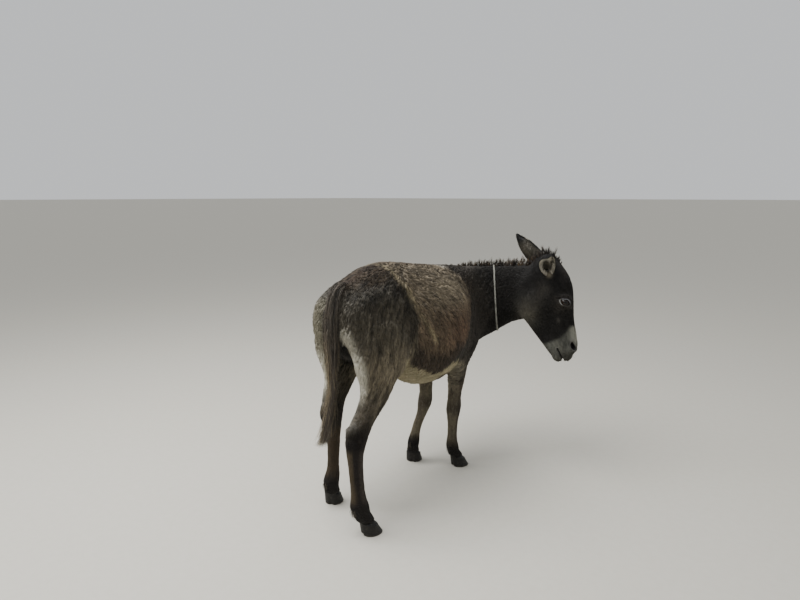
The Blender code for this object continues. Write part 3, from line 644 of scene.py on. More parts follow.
def make_ear(name):
    """A rolled sheet with its own thickness. Returns the object, each point's share of the length, place
    across and whether it is inside, and the way the ear points."""
    sign, course, opening = ear_axes(name)
    side = np.cross(course, opening)
    rows = spline(EAR_SECTIONS, 9)
    t, half, thick, wrap = rows.T
    x = np.linspace(-1, 1, EAR_ACROSS)
    middle = (in_head(np.array(EAR_ROOT) * (1, 1, sign)) + course * (EAR_LENGTH * t)[:, None]
              - opening * (EAR_HOLLOW * np.sin(math.pi * t))[:, None])
    angle = wrap[:, None] * x
    arm = np.sin(angle)[..., None] * side - opening * (np.cos(angle) * 0.85)[..., None]
    edge = thick[:, None] * (1 - 0.65 * np.abs(x) ** 3)
    fold = 0.0012 * np.cos(x * 9) * (1 - np.abs(x)) * np.sin(math.pi * np.clip(t, 0, 1))[:, None]
    outer = middle[:, None] + arm * (half[:, None] - EAR_COAT)[..., None]
    inner = middle[:, None] + arm * (half[:, None] - edge + EAR_COAT * 0.5 + fold)[..., None]
    ring = np.concatenate([outer, inner[:, ::-1]], 1)
    count, around = ring.shape[:2]
    grid = np.arange(count * around).reshape(count, around)
    beside = np.roll(grid, -1, 1)
    faces = np.stack([grid[:-1], beside[:-1], beside[1:], grid[1:]], -1).reshape(-1, 4)
    obj = build("ear", ring.reshape(-1, 3), faces)
    edit_all(obj, (bpy.ops.mesh.fill_holes, {"sides": 0}),
             (bpy.ops.mesh.normals_make_consistent, {"inside": False}))
    place = np.stack([np.repeat(t, around), np.tile(np.concatenate([x, x[::-1]]), count),
                      np.tile(np.repeat([0.0, 1.0], EAR_ACROSS), count)], -1)
    return obj, place, course


# ---------------------------------------------------------------- markings, with painted light and shade
# Borders between the colours.
# Height of the pale belly's edge along the body, and of the dark croup's edge to both sides of the spine.
BELLY_LINE = ((-0.34, -0.294, -0.191, -0.163, -0.086, -0.035, 0.00, 0.026, 0.064, 0.12, 0.20),
              (0.740, 0.725, 0.685, 0.648, 0.606, 0.586, 0.585, 0.606, 0.636, 0.628, 0.590))
TOP_LINE = ((0.0, 0.10, 0.20), (1.000, 1.020, 1.08))
# How far forward the quarters, the shoulder and the pale thigh reach at each height.
PARTING_LINE = ((0.64, 0.707, 0.740, 0.794, 0.866, 0.918, 0.953, 0.983, 1.014, 1.046, 1.090),
                (-0.170, -0.180, -0.187, -0.188, -0.197, -0.203, -0.212, -0.228, -0.246, -0.256, -0.245))
SHOULDER_LINE = ((0.62, 0.651, 0.697, 0.784, 0.875, 0.95, 1.04),
                 (0.02, 0.054, 0.173, 0.225, 0.256, 0.262, 0.185))
THIGH_LINE = ((0.46, 0.51, 0.56, 0.61, 0.67, 0.74, 0.78, 0.82, 0.86, 0.90),
              (-0.548, -0.520, -0.488, -0.470, -0.474, -0.490, -0.503, -0.511, -0.521, -0.550))
# How far down the head the pale muzzle begins, from its underside to its front.
MUZZLE_LINE = ((-0.060, -0.040, -0.025, 0.008, 0.031, 0.053, 0.069, 0.088),
               (0.404, 0.398, 0.393, 0.386, 0.371, 0.352, 0.337, 0.335))
# Crest of turned hair between the flank and the quarters: forward, side, up.
FLANK_FEATHER = ((-0.235, 0, 1.085), (-0.245, 0, 1.046), (-0.228, 0, 0.997), (-0.208, 0, 0.949),
                 (-0.182, 0, 0.895), (-0.142, 0, 0.837), (-0.085, 0, 0.757))


def markings_and_painted_light(co, out, ears=None):
    """Colour of the coat at places on the animal, given the surface's outward ways: its markings, with
    painted light and shade laid among them.
    """
    q = own(co)
    f, side, u = q.T
    a = np.abs(side)
    profile = q * (1, 0, 1)
    legs = limb_share(q)
    facing = own(ORIGIN + out)
    inner = step(-facing[:, 1] * np.sign(side), 0.05, 0.65)
    rear = step(-facing[:, 0], 0.0, 0.7)
    wobble = 0.6 * noise(co, 0.045, 1) + 0.4 * noise(co, 0.017, 2)
    colour = np.tile(srgb("#6a5d4d"), (len(co), 1))

    def lay(code, share):
        nonlocal colour
        colour = over(colour, code, share)

    def past(value, soft):
        """1 where a value is over 0, with an uneven soft edge."""
        return step(value + wobble * soft * 0.8, -soft, soft)

    # barrel: grizzled above, warmer in the middle, dark along the bottom
    lay("#6e6454", past(u - 0.90, 0.06))
    lay("#9a8e79", bump(profile, (0.06, 0, 0.95), (0.15, 1, 0.055)) * 0.85)
    lay("#6d5342", bump(profile, (0.12, 0, 0.76), (0.14, 1, 0.10)) * 0.7)
    low = np.interp(f, *BELLY_LINE)
    lay("#3a332c", past(low + 0.095 - u, 0.045) * past(f + 0.30, 0.05) * 0.85)
    # quarters behind the parting that runs down from the hip, paler downwards, dark before the stifle
    parting = np.interp(u, *PARTING_LINE) + 0.014 * noise(co, 0.050, 3) + 0.008 * noise(co, 0.016, 4)
    quarters = past(parting - f, 0.014)
    lay("#45413a", quarters)
    lay("#5f594c", quarters * past(0.93 - u, 0.08) * 0.8)
    lay("#7b7260", quarters * past(0.77 - u, 0.08) * 0.85)
    lay("#35312a", quarters * bump(profile, (-0.225, 0, 0.84), (0.045, 1, 0.13)) * 0.9)
    lay("#a39779", along(profile, FLANK_FEATHER, 0.011) * (0.55 + 0.30 * wobble))
    # painted shadow behind and under the point of the hip
    lay("#26201b", bump(profile, (-0.262, 0, 0.995), (0.026, 1, 0.022)) * 0.8)
    # croup and the dark line down the back
    lay("#3f3428", past(u - np.interp(a, *TOP_LINE), 0.030) * quarters * 0.8)
    lay("#33281f", np.exp(-(a / 0.018) ** 2) * step(u, 0.95, 1.0) * 0.8)
    # shoulder and neck
    dark = past(f - np.interp(u, *SHOULDER_LINE), 0.026)
    lay("#3d3934", dark)
    lay("#191715", dark * past(f - 0.40, 0.05) * 0.95)
    lay("#4a4034", dark * bump(profile, (0.27, 0, 0.95), (0.05, 1, 0.06)) * 0.4)
    # pale belly and flank fold
    below = past(low - u, 0.012) * step(f, 0.26, 0.13) * (1 - legs * step(u, 0.56, 0.52))
    folded = (1 - legs) * past(f + 0.235 + 0.5 * (u - 0.66), 0.012)
    lay("#aea487", below * np.maximum(folded, inner) * past(f + 0.37, 0.03))
    mark_thighs(lay, q, inner, rear, wobble)
    mark_lower_legs(lay, past, co, facing, inner, rear)
    mark_head(lay, past, co, wobble)
    # scar on the withers
    scar = bump(q, (0.190, -0.040, 1.045), (0.020, 0.022, 0.020))
    lay("#b9b4a8", scar * past(wobble * 0.1 + 0.03, 0.05) * 0.9)
    if ears is not None:
        mark_ear(lay, co, *ears.T)
    return colour


def mark_thighs(lay, q, inner, rear, wobble):
    """Pale insides of the thighs and pale buttocks, with painted light on the left buttock, and painted
    shade between the legs and on the inner face of the left thigh.
    """
    f, side, u = q.T
    hind = step(f, -0.16, -0.22)
    left, right = hind * (side > 0), hind * (side < 0)
    shade_between_legs = hind * step(-np.abs(side), -0.056, -0.036) * step(-f, 0.28, 0.34) * step(u, 0.90, 0.86)
    lay("#d2cebf", right * inner * step(u, 0.86, 0.74) * step(u, 0.42, 0.50))
    pale = right * step(np.interp(u, *THIGH_LINE) - f + 0.004 * wobble, -0.012, 0.012) * step(u, 0.43, 0.52)
    lay("#d8d4c5", pale * (0.60 + 0.40 * step(u, 0.84, 0.74)))
    # pale grizzle of the left buttock, laid paler on this lit side: partly its own colour, partly painted
    # light
    lay("#95907f", left * rear * step(u, 0.55, 0.66) * step(u, 0.99, 0.93) * 0.88)
    # painted shade in the crevice between the legs
    lay("#191613", shade_between_legs * step(u, 0.60, 0.68) * 0.95)
    # pale back of the left thigh: partly the pale marking, partly painted light
    lay("#dcd8c8", left * rear * (1 - inner) * step(u, 0.77, 0.70) * step(u, 0.46, 0.54) * 0.9)
    # painted shade on the inner face of the left thigh
    lay("#4c473b", left * inner * step(u, 0.80, 0.70) * step(u, 0.38, 0.46) * 0.9)
    # painted shade between the legs, laid once more over its upper part
    lay("#191613", shade_between_legs * step(u, 0.645, 0.675) * 0.95)


def mark_lower_legs(lay, past, co, facing, inner, rear):
    """Dark hocks and pasterns, brown shanks, pale grizzled backs of the forelegs."""
    q = own(co)
    f, side, u = q.T
    legs = limb_share(q)
    front_face = step(facing[:, 0], 0.05, 0.75)
    hind = step(f, -0.16, -0.22)
    fore = step(f, 0.00, 0.05) * legs
    lay("#37312a", hind * legs * past(0.56 - u, 0.05) * 0.6)
    lay("#1f1a18", hind * past(0.480 + 0.25 * (f + 0.50) - u, 0.060) * (1 - 0.30 * (side > 0)))
    shank = hind * step(u, 0.40, 0.36) * step(u, 0.12, 0.16)
    lay("#484039", shank * (1 - rear) * (1 - inner) * (1 - 0.7 * front_face) * 0.8)
    lay("#5d513e", shank * step(-facing[:, 0], 0.50, 0.95) * (side < 0) * 0.8)
    lay("#4f4230", shank * (side > 0) * np.maximum(rear, inner) * 0.7)
    lay("#5a5245", fore * past(0.60 - u, 0.03))
    lay("#aaa18c", fore * np.maximum(inner, rear * 0.5) * past(u - 0.42, 0.06) * 0.9)
    cannon = fore * past(0.42 - u, 0.06) * past(u - 0.15, 0.02)
    lay("#8f8670", cannon * np.maximum(rear * 0.7, inner) * 0.75)
    lay("#262019", fore * np.maximum(front_face, 0.12) * past(0.58 - u, 0.04))
    lay("#2b2521", fore * bump(q * (0, 0, 1), (0, 0, 0.33), (1, 1, 0.035)) * 0.6)
    lay("#a39b88", bump(q * (1, 0, 1), (0.175, 0, 0.54), (0.055, 1, 0.050)) * (1 - front_face) * 0.8)
    lay("#1e1a17", legs * past(0.150 - u, 0.032))
    speckle = step(noise(co, 0.007, 9), 0.25, 0.60) * step(u, 0.13, 0.18) * step(u, 0.55, 0.45)
    lay("#a49d8a", fore * np.maximum(rear, inner) * speckle * 0.25)


def mark_head(lay, past, co, wobble):
    """Dark face with a paler jaw, pale muzzle with its folds, lids, nostrils and lips; painted shade in the
    folds and creases, on the lower muzzle and chin, in the lids' crease and edge, in the nostrils and
    between the lips, and painted highlight between the folds and on the eye's upper rim.
    """
    h = of_head(co)
    head = head_share(co)
    profile = h * (1, 1, 0)
    down, front, flank = h[:, 0], h[:, 1], np.abs(h[:, 2])
    mirrored = np.stack([down, front, flank], -1)
    lay("#1b1917", head)
    lay("#302822", head * bump(profile, (0.08, 0.090, 0), (0.06, 0.03, 1)) * 0.5)
    lay("#423e38", head * along(profile, ((0.22, -0.10, 0), (0.13, -0.02, 0)), 0.035) * 0.8)
    jaw = bump(profile, (0.240, -0.120, 0), (0.062, 0.048, 1)) * step(own(co)[:, 0], 0.36, 0.42)
    lay("#6a665b", jaw * (0.80 + 0.20 * wobble))
    lay("#3a3530", head * bump(profile, (0.225, 0.030, 0), (0.034, 0.026, 1)) * 0.8)
    lay("#5b5650", bump(mirrored, (0.290, 0.022, 0.062), (0.014, 0.008, 0.02)) * head * 0.7)
    muzzle = past(down - np.interp(front, *MUZZLE_LINE), 0.013) * head
    # the pale muzzle laid darker under its pale top in front: painted shade on its sides and lower part
    lay("#5d5d56", muzzle)
    lay("#a3a296", muzzle * step(front, 0.045, 0.085) * step(down, 0.445, 0.405) * 0.95)
    # painted shade in the grooves of the muzzle's fine folds, and painted highlight on the skin between
    # them
    fold = muzzle_folds(mirrored)
    lay("#35342f", muzzle * step(fold, 0.10, 0.55) * 0.45)
    lay("#85847a", muzzle * step(-fold, 0.15, 0.60) * 0.30)
    lay("#73736a", muzzle * bump(profile, (0.410, -0.020, 0), (0.030, 0.030, 1)) * 0.7)
    # painted shade on the lower muzzle and the chin, which face down
    lay("#3c3b35", muzzle * step(down, 0.430, 0.490) * step(front, -0.020, 0.030) * 0.9)
    lay("#46453c", muzzle * step(down, 0.465, 0.500) * step(-front, -0.010, 0.010) * 0.8)
    # painted shade in the creases behind the nostril and above the upper lip
    lay("#2e2d29", muzzle * bump(profile, (0.415, 0.052, 0), (0.016, 0.010, 1)) * 0.5)
    lay("#4a4643", muzzle * along(mirrored, ((0.366, 0.066, 0.040), (0.425, 0.062, 0.050)), 0.007) * 0.55)
    lay("#3a3634", muzzle * along(mirrored, ((0.395, 0.020, 0.046), (0.440, 0.018, 0.044)), 0.006) * 0.35)
    for sign in (1, -1):
        e = eye_frame(h, sign)
        reach = lid_reach(e)
        close = step(-np.linalg.norm(e, axis=1), -0.075, -0.055) * (h[:, 2] * sign > 0)
        lay("#3d3833", close * peak(reach, 1.9, 0.9) * 0.6)
        # the eye's pale ring: its own pale skin, laid bright along the upper lid and on one stretch of the
        # lower one, with painted light on the upper side
        rim = close * peak(reach, 1.17, 0.09)
        lay("#8f9094", rim * (0.05 + 0.78 * step(e[:, 1] - 0.30 * np.abs(e[:, 0]), 0.000, 0.006)))
        lay("#a2a29e", rim * along(e * (1, 1, 0), ((-0.028, 0.002, 0), (-0.010, -0.016, 0)), 0.006) * 0.95)
        # painted shade in the crease above the upper lid
        lay("#15110f", close * peak(reach, 1.62, 0.15) * (e[:, 1] > 0) * 0.8)
        # the lids' edge and the pocket within it laid near black: their own dark skin, with painted shade
        # under the lids
        lay("#0f0c0b", close * step(-reach, -1.08, -1.00))
        nostril, deep = nostril_reach(h, sign)
        here = head * (h[:, 2] * sign > 0) * (np.abs(deep) < NOSTRIL_DEEP)
        lay("#4b4845", here * step(-nostril, -1.75, -1.25) * 0.5)
        # inside of the nostril laid near black: its own dark skin, with painted shade in the hole
        lay("#0e0c0c", here * step(-nostril, -1.12, -0.85))
    beside, gap = mouth_gap(h)
    # painted shade in the groove between the lips
    lay("#12100f", peak(beside, 0, gap + 0.8) * head * 0.97)
    for sign, course, opening in EARS.values():     # pale hair at the foot of each ear
        foot = np.array(EAR_ROOT) * (1, 1, sign)
        foot += unit(np.array(opening)) * 0.010 + unit(np.array(course)) * 0.015
        lay("#b5ab95", bump(h, foot, (0.013, 0.014, 0.016)) * 0.95)


def mark_ear(lay, co, t, x, inside):
    """Dark tip and edges, pale inside with a spot low down and a strip along the front edge laid dark, each
    partly dark hair and partly painted shade in the ear's hollow.
    """
    lay("#4f4a3f", np.ones(len(co)))
    lay("#231e1b", step(t, 0.30, 0.0))
    lay("#0e0c0b", np.maximum(step(t, 0.66, 0.86), step(np.abs(x), 0.60, 0.82)))
    lay("#0e0c0b", (of_head(co)[:, 2] < 0) * 0.9)
    lay("#e0dacc", inside * step(np.abs(x), 0.97, 0.88) * step(t, 0.92, 0.78))
    # spot low in the opening: partly darker hair, partly painted shade deep in the ear
    spot = bump(np.stack([t, x], -1), (0.15, -0.10), (0.17, 0.42))
    lay("#211f15", inside * np.minimum(1.5 * spot, 1) * 0.95)
    # strip inside the front edge: partly dark hair, partly painted shade
    lay("#16130f", inside * peak(x, 0.72, 0.11) * 0.95)
    lay("#8f866c", inside * step(noise(co, 0.010, 14), 0.0, 0.5) * 0.35)


# ---------------------------------------------------------------- the lie of the coat
# Strokes on both sides of the body: forward, side, up; the way the hair lies; reach.
STROKES = (
    (0.20, 0.02, 1.05, -1.0, 0.20, 0.0, 0.07), (0.02, 0.02, 1.07, -0.6, 0.60, 0.0, 0.07),
    (-0.20, 0.02, 1.09, -0.9, 0.30, 0.0, 0.08), (-0.38, 0.02, 1.06, -0.9, 0.10, -0.3, 0.08),
    (-0.47, 0.04, 1.00, -0.6, 0.10, -0.8, 0.06), (-0.30, 0.10, 1.05, -0.75, 0.35, -0.45, 0.08),
    (-0.40, 0.12, 0.97, -0.6, 0.15, -0.8, 0.08), (-0.33, 0.16, 0.90, -0.45, 0.0, -0.9, 0.10),
    (-0.50, 0.08, 0.88, -0.15, 0.15, -1.0, 0.09), (-0.48, 0.12, 0.75, 0.0, 0.0, -1.0, 0.09),
    (-0.40, 0.17, 0.78, -0.3, 0.0, -1.0, 0.09), (-0.27, 0.17, 0.80, -0.25, 0.0, -1.0, 0.07),
    (-0.28, 0.17, 0.70, -0.25, 0.0, -1.0, 0.08), (-0.38, 0.15, 0.62, -0.4, 0.0, -0.95, 0.08),
    (-0.45, 0.13, 0.53, -0.5, 0.0, -0.85, 0.07), (-0.27, 0.15, 0.98, -0.5, 0.2, -0.85, 0.05),
    (-0.19, 0.15, 0.99, 0.75, 0.3, -0.6, 0.05), (-0.10, 0.12, 1.04, 0.7, 0.5, -0.4, 0.06),
    (-0.04, 0.17, 0.97, 0.9, 0.1, -0.5, 0.08), (0.08, 0.17, 0.94, 0.8, 0.1, -0.6, 0.08),
    (0.17, 0.16, 0.95, 0.5, 0.1, -0.85, 0.06), (-0.05, 0.21, 0.83, 0.55, 0.0, -0.85, 0.09),
    (0.10, 0.21, 0.80, 0.45, 0.0, -0.9, 0.09), (0.18, 0.18, 0.73, 0.2, 0.0, -1.0, 0.07),
    (-0.17, 0.17, 0.86, 0.45, 0.0, -0.9, 0.06), (-0.14, 0.18, 0.73, 0.25, 0.0, -1.0, 0.07),
    (-0.03, 0.20, 0.66, 0.0, 0.0, -1.0, 0.08), (0.08, 0.20, 0.64, -0.1, 0.0, -1.0, 0.07),
    (-0.10, 0.08, 0.53, -0.9, -0.3, 0.0, 0.10), (0.10, 0.08, 0.52, -1.0, -0.2, 0.0, 0.10),
    (-0.26, 0.06, 0.62, -0.8, 0.0, -0.3, 0.08), (-0.34, 0.04, 0.74, -0.3, 0.0, -0.9, 0.08),
    (0.28, 0.05, 1.02, -0.5, 0.4, -0.7, 0.06), (0.30, 0.13, 0.90, -0.25, 0.0, -1.0, 0.09),
    (0.30, 0.14, 0.75, -0.35, 0.0, -0.95, 0.09), (0.36, 0.10, 0.64, -0.3, 0.0, -0.95, 0.08),
    (0.46, 0.05, 0.72, 0.1, 0.2, -1.0, 0.08), (0.25, 0.12, 0.62, -0.3, 0.0, -0.95, 0.06),
)
# Strokes round the neck, the same on both of its sides.
NECK_STROKES = (
    (0.38, -0.06, 0.95, -0.3, 0.35, -0.85, 0.08), (0.41, -0.10, 0.80, -0.3, 0.30, -0.90, 0.08),
    (0.48, -0.16, 0.92, -0.15, 0.50, -0.85, 0.08), (0.50, -0.25, 0.92, 0.0, 0.55, -0.85, 0.08),
    (0.51, -0.34, 0.94, 0.0, 0.55, -0.85, 0.08), (0.50, -0.25, 0.78, 0.0, 0.85, -0.5, 0.06),
    (0.49, -0.16, 0.72, 0.0, 0.80, -0.6, 0.06), (0.50, -0.33, 0.80, 0.0, 0.90, -0.4, 0.06),
)
# Strokes on both sides of the head: down, front, side; the way the hair lies; reach.
HEAD_STROKES = (
    (0.05, 0.085, 0.0, -1.0, 0.0, 0.2, 0.035), (0.11, 0.105, 0.02, 0.2, 0.0, 1.0, 0.025),
    (0.17, 0.100, 0.02, 0.9, 0.0, 0.35, 0.035), (0.25, 0.095, 0.01, 1.0, 0.0, 0.15, 0.04),
    (0.34, 0.090, 0.01, 1.0, 0.0, 0.10, 0.04), (0.25, 0.00, 0.06, 0.75, -0.65, 0.0, 0.05),
    (0.17, -0.08, 0.06, 0.45, -0.9, 0.0, 0.05), (0.29, -0.08, 0.04, 0.8, -0.55, 0.0, 0.05),
    (0.10, -0.05, 0.07, 0.35, -0.9, 0.0, 0.05), (0.08, 0.04, 0.07, 0.2, -0.9, 0.3, 0.04),
    (0.34, 0.04, 0.05, 0.95, -0.35, 0.0, 0.04), (0.41, 0.03, 0.045, 0.9, -0.4, 0.0, 0.04),
    (0.45, 0.08, 0.02, 0.8, 0.2, 0.5, 0.03), (0.44, -0.05, 0.02, 0.9, 0.1, 0.0, 0.04),
    (0.17, 0.075, 0.07, -0.5, 0.3, 0.4, 0.022), (0.25, 0.06, 0.07, 0.9, -0.2, 0.0, 0.022),
    (0.20, 0.025, 0.08, 0.4, -0.9, 0.0, 0.022),
)
LIMB_FALL = way((-0.15, 0.0, -1.0))


def stroke_weight(q, place, reach, faint, fade):
    """How much a stroke counts: fully within its reach, and faintly everywhere."""
    return bump(q, place, (reach,) * 3) + faint * np.exp(-np.linalg.norm(q - place, axis=1) / fade)


def lie(co, out):
    """The way the hair lies at each place, along the surface."""
    q = own(co)
    hand, ones = np.sign(q[:, 1]), np.ones(len(q))
    mirrored = q * np.stack([ones, hand, ones], 1)
    total = np.zeros_like(co)
    for *place, df, ds, du, reach in STROKES:
        weight = stroke_weight(mirrored, place, reach, 1e-6, 0.05)
        course = np.stack([df * ones, ds * hand, du * ones], 1)
        total += weight[:, None] * unit(way(course))
    neck = step(q[:, 0], 0.34, 0.40)
    for *place, df, ds, du, reach in NECK_STROKES:
        weight = bump(q, place, (reach,) * 3) * neck * 2
        total += weight[:, None] * unit(way((df, ds, du)))
    h = of_head(co)
    hand = np.sign(h[:, 2])
    mirrored = np.stack([h[:, 0], h[:, 1], np.abs(h[:, 2])], 1)
    face = np.zeros_like(co)
    for *place, dd, df, ds, reach in HEAD_STROKES:
        weight = stroke_weight(mirrored, place, reach, 1e-5, 0.02)
        face += weight[:, None] * (np.stack([dd * ones, df * ones, ds * hand], 1) @ HEAD_AXES)
    head = head_share(co)[:, None]
    total = unit(total) * (1 - head) + unit(face) * head
    legs = (limb_share(q) * step(q[:, 2], 0.50, 0.40))[:, None]
    total = total * (1 - legs) + LIMB_FALL * legs
    dock = (step(-q[:, 0], 0.475, 0.50) * step(0.05 - np.abs(q[:, 1]), 0.0, 0.015))[:, None]
    total = total * (1 - dock) + unit(way((-0.2, 0.0, -1.0))) * dock
    total -= out * (total * out).sum(1, keepdims=True)
    return unit(total)


# ---------------------------------------------------------------- the coat
COAT_TUFTS = 330000
TUFT_LIMIT = 49000       # tufts in one piece
LOCK_SIZE = 15           # tufts that come together in one lock
LOCKS = COAT_TUFTS // LOCK_SIZE
COVER = 3.0              # layers of tufts over the skin
ROOT_SUNK = 0.0006       # tufts start this far under the skin
EAR_TUFTS = 300000       # tufts to a square metre of ear


def hair_size(co, ears):
    """Length and width of the tufts, and how closely they stand."""
    q = own(co)
    h = of_head(co)
    head = head_share(co)
    legs = limb_share(q)
    quarters = step(-q[:, 0], 0.14, 0.24)
    long = 0.026 + 0.006 * quarters - 0.009 * step(q[:, 0], 0.20, 0.32)
    long = long - 0.004 * step(0.60 - q[:, 2], 0.0, 0.06) * (1 - legs)
    lower = step(q[:, 2], 0.56, 0.36)
    long = long * (1 - legs) + (0.019 - 0.010 * lower) * legs
    face = 0.0085 - 0.0042 * step(h[:, 0], 0.28, 0.40)
    jaw = step(-h[:, 1], 0.08, 0.14) * step(0.32 - h[:, 0], 0.0, 0.08)
    long = long * (1 - head) + (face + 0.006 * jaw) * head
    wide = 0.0010 + 0.080 * long
    close = COVER / (long * wide / 2)
    close = close * (1 - 0.62 * head) * (1 - 0.40 * legs * lower)
    wide = wide * (1 - 0.30 * head)
    inside = ears[:, 2]
    is_ear = ears[:, 0] > -1
    long = np.where(is_ear, 0.0075 + 0.0025 * inside, long)
    wide = np.where(is_ear, 0.0014, wide)
    close = np.where(is_ear, EAR_TUFTS * step(ears[:, 0], 0.02, 0.10), close)
    return long, wide, close


def bare_share(co):
    """0 where no hair grows: lids' edge, inside the nostrils and the lips' line."""
    h = of_head(co)
    bare = np.zeros(len(co))
    for sign in (1, -1):
        e = eye_frame(h, sign)
        near = (np.linalg.norm(e, axis=1) < 0.07) & (h[:, 2] * sign > 0)
        bare = np.maximum(bare, near * step(-lid_reach(e), -1.42, -1.30))
        nostril, deep = nostril_reach(h, sign)
        here = (np.abs(deep) < NOSTRIL_DEEP) & (h[:, 2] * sign > 0)
        bare = np.maximum(bare, here * step(-nostril, -1.25, -1.10))
    beside, gap = mouth_gap(h)
    return 1 - np.maximum(bare, (beside < gap) * head_share(co))


def scatter_tufts(skin, ears, courses):
    """Roots spread over the skin as closely as each place wants, with what holds there."""
    mesh = skin.data
    mesh.calc_loop_triangles()
    corner = values(mesh.loop_triangles, "vertices", 3, np.int32)
    uv = bake_places(mesh)[values(mesh.loop_triangles, "loops", 3, np.int32)]
    co, _ = read(mesh)
    out = normals(mesh)
    long, wide, close = hair_size(co, ears)
    close = close * bare_share(co)
    flow = lie(co, out)
    on_ear = ears[:, 0] > -1
    flow[on_ear] = unit(courses[on_ear] - out[on_ear] * (courses * out)[on_ear].sum(1, keepdims=True))
    a, b, c = (co[corner[:, k]] for k in range(3))
    weight = np.linalg.norm(np.cross(b - a, c - a), axis=1) / 2 * close[corner].mean(1)
    chosen = np.searchsorted(np.cumsum(weight), rng.random(COAT_TUFTS) * weight.sum())
    share = rng.random((COAT_TUFTS, 2))
    folded = share.sum(1) > 1
    share[folded] = 1 - share[folded]
    share = np.concatenate([1 - share.sum(1, keepdims=True), share], 1)

    def blend(rows):
        return (rows[corner[chosen]] * (share[..., None] if rows.ndim > 1 else share)).sum(1)

    ear_place = blend(ears)
    return SimpleNamespace(root=blend(co), up=unit(blend(out)), flow=blend(flow), long=blend(long),
                           wide=blend(wide), ear_place=ear_place, on_ear=ear_place[:, 0] > -0.5,
                           patch=(uv[chosen] * share[..., None]).sum(1))


def comb_tufts(tufts):
    """Lay the tufts along the body: neighbours lean the same way and meet in locks, and a few stand out."""
    root, up = tufts.root, tufts.up
    q = own(root)
    depth = coat_depth(root)
    depth[tufts.on_ear] = EAR_COAT
    short = head_share(root) + limb_share(q) * step(q[:, 2], 0.45, 0.36)
    calm = np.clip(1 - short, 0.25, 1)      # 1 where the coat is long enough to come together in locks
    smooth = 0.45 + 0.55 * step(q[:, 0], 0.20, 0.26)
    turn = (0.30 * noise(root, 0.022, 11) + 0.22 * noise(root, 0.009, 12)) * calm * smooth
    turn += rng.normal(0, 0.10, COAT_TUFTS)
    side = np.cross(tufts.flow, up)
    flow = unit(tufts.flow * np.cos(turn)[:, None] + side * np.sin(turn)[:, None])
    flow = unit(flow - up * (flow * up).sum(1, keepdims=True))
    side = np.cross(flow, up)
    uneven = 0.86 + 0.30 * noise(root, 0.013, 13) + rng.normal(0, 0.12, COAT_TUFTS)
    rise = depth * np.clip(uneven, 0.35, 1.35)
    loose = rng.random(COAT_TUFTS) < 0.05 * calm
    rise = rise + loose * 0.35 * depth
    length = tufts.long * np.clip(rng.normal(1.0, 0.16, COAT_TUFTS), 0.6, 1.4)
    reach = np.sqrt(np.maximum(length ** 2 - rise ** 2, (0.3 * length) ** 2))
    sway = side * (length * rng.normal(0, 0.06, COAT_TUFTS))[:, None]
    half = side * (tufts.wide * np.clip(rng.normal(1, 0.15, COAT_TUFTS), 0.6, 1.4) / 2)[:, None]
    sunk = root - up * ROOT_SUNK
    ridge = root + flow * (reach * 0.45)[:, None] + up * (rise * 0.66 + 0.0004)[:, None] + sway * 0.3
    tip = root + flow * reach[:, None] + up * (rise * 0.92)[:, None] + sway
    seeds = np.arange(LOCKS) * LOCK_SIZE
    tree = KDTree(LOCKS)
    for number, seed in enumerate(seeds):
        tree.insert(root[seed], number)
    tree.balance()
    lock = np.array([tree.find(place)[1] for place in root])
    seed = seeds[lock]
    gather = root[seed] + flow[seed] * (reach * 1.05)[:, None] - tip
    gather -= up * (gather * up).sum(1, keepdims=True)
    far = (np.linalg.norm(gather, axis=1) > 0.025) | ((up * up[seed]).sum(1) < 0.6) | tufts.on_ear
    pull = (0.55 - 0.20 * step(-q[:, 0], 0.20, 0.30)) * calm * (~far) * (rng.random(COAT_TUFTS) > 0.12)
    tip = tip + gather * pull[:, None]
    ridge = ridge + gather * (pull * 0.35)[:, None]
    return np.stack([sunk + half, sunk - half, ridge, tip], 1), flow, calm, lock


def tuft_colours(tufts, flow, calm, lock):
    """Markings and painted light read at the root, streaks along the lie, some tufts with light tips, and
    painted shade at each root, under the tufts over it.
    """
    root, on_ear = tufts.root, tufts.on_ear
    q = own(root)
    base = markings_and_painted_light(root, tufts.up)
    base[on_ear] = markings_and_painted_light(root[on_ear], tufts.up[on_ear], tufts.ear_place[on_ear])
    streak = sum(noise(root + flow * (k * 0.007), 0.0060, 21) for k in range(-4, 5))
    broad = sum(noise(root + flow * (k * 0.014), 0.015, 22) for k in range(-2, 3))
    streak, broad = streak / streak.std(), broad / broad.std()
    own_lock = rng.normal(0, 1, LOCKS)[lock]
    shaggy = (0.20 + 0.80 * calm) * (1 - 0.55 * step(q[:, 0], 0.24, 0.32))
    shaggy = shaggy * (1 - 0.65 * step(base[:, 1], 0.16, 0.34))
    shaggy = shaggy * (1 - 0.7 * step(-q[:, 0], 0.46, 0.50)) * np.where(on_ear, 0.15, 1.0)
    shade = 1 + (0.24 * streak + 0.17 * broad + 0.10 * own_lock) * shaggy + rng.normal(0, 0.10, COAT_TUFTS)
    ticked = (rng.random(COAT_TUFTS) < 0.12 + 0.10 * np.clip(streak, 0, 2)) * shaggy
    base = base * np.clip(shade, 0.35, 2.0)[:, None]
    pale = base * 1.6 + srgb("#8d8471") * 0.12
    tips = base * 1.12 * (1 - ticked[:, None]) + pale * ticked[:, None]
    # painted shade at each tuft's root, under the tufts lying over it; less on the face and ears
    foot = base * (0.62 + 0.30 * np.maximum(head_share(root), on_ear))[:, None]
    return np.stack([foot, foot, base, tips], 1)


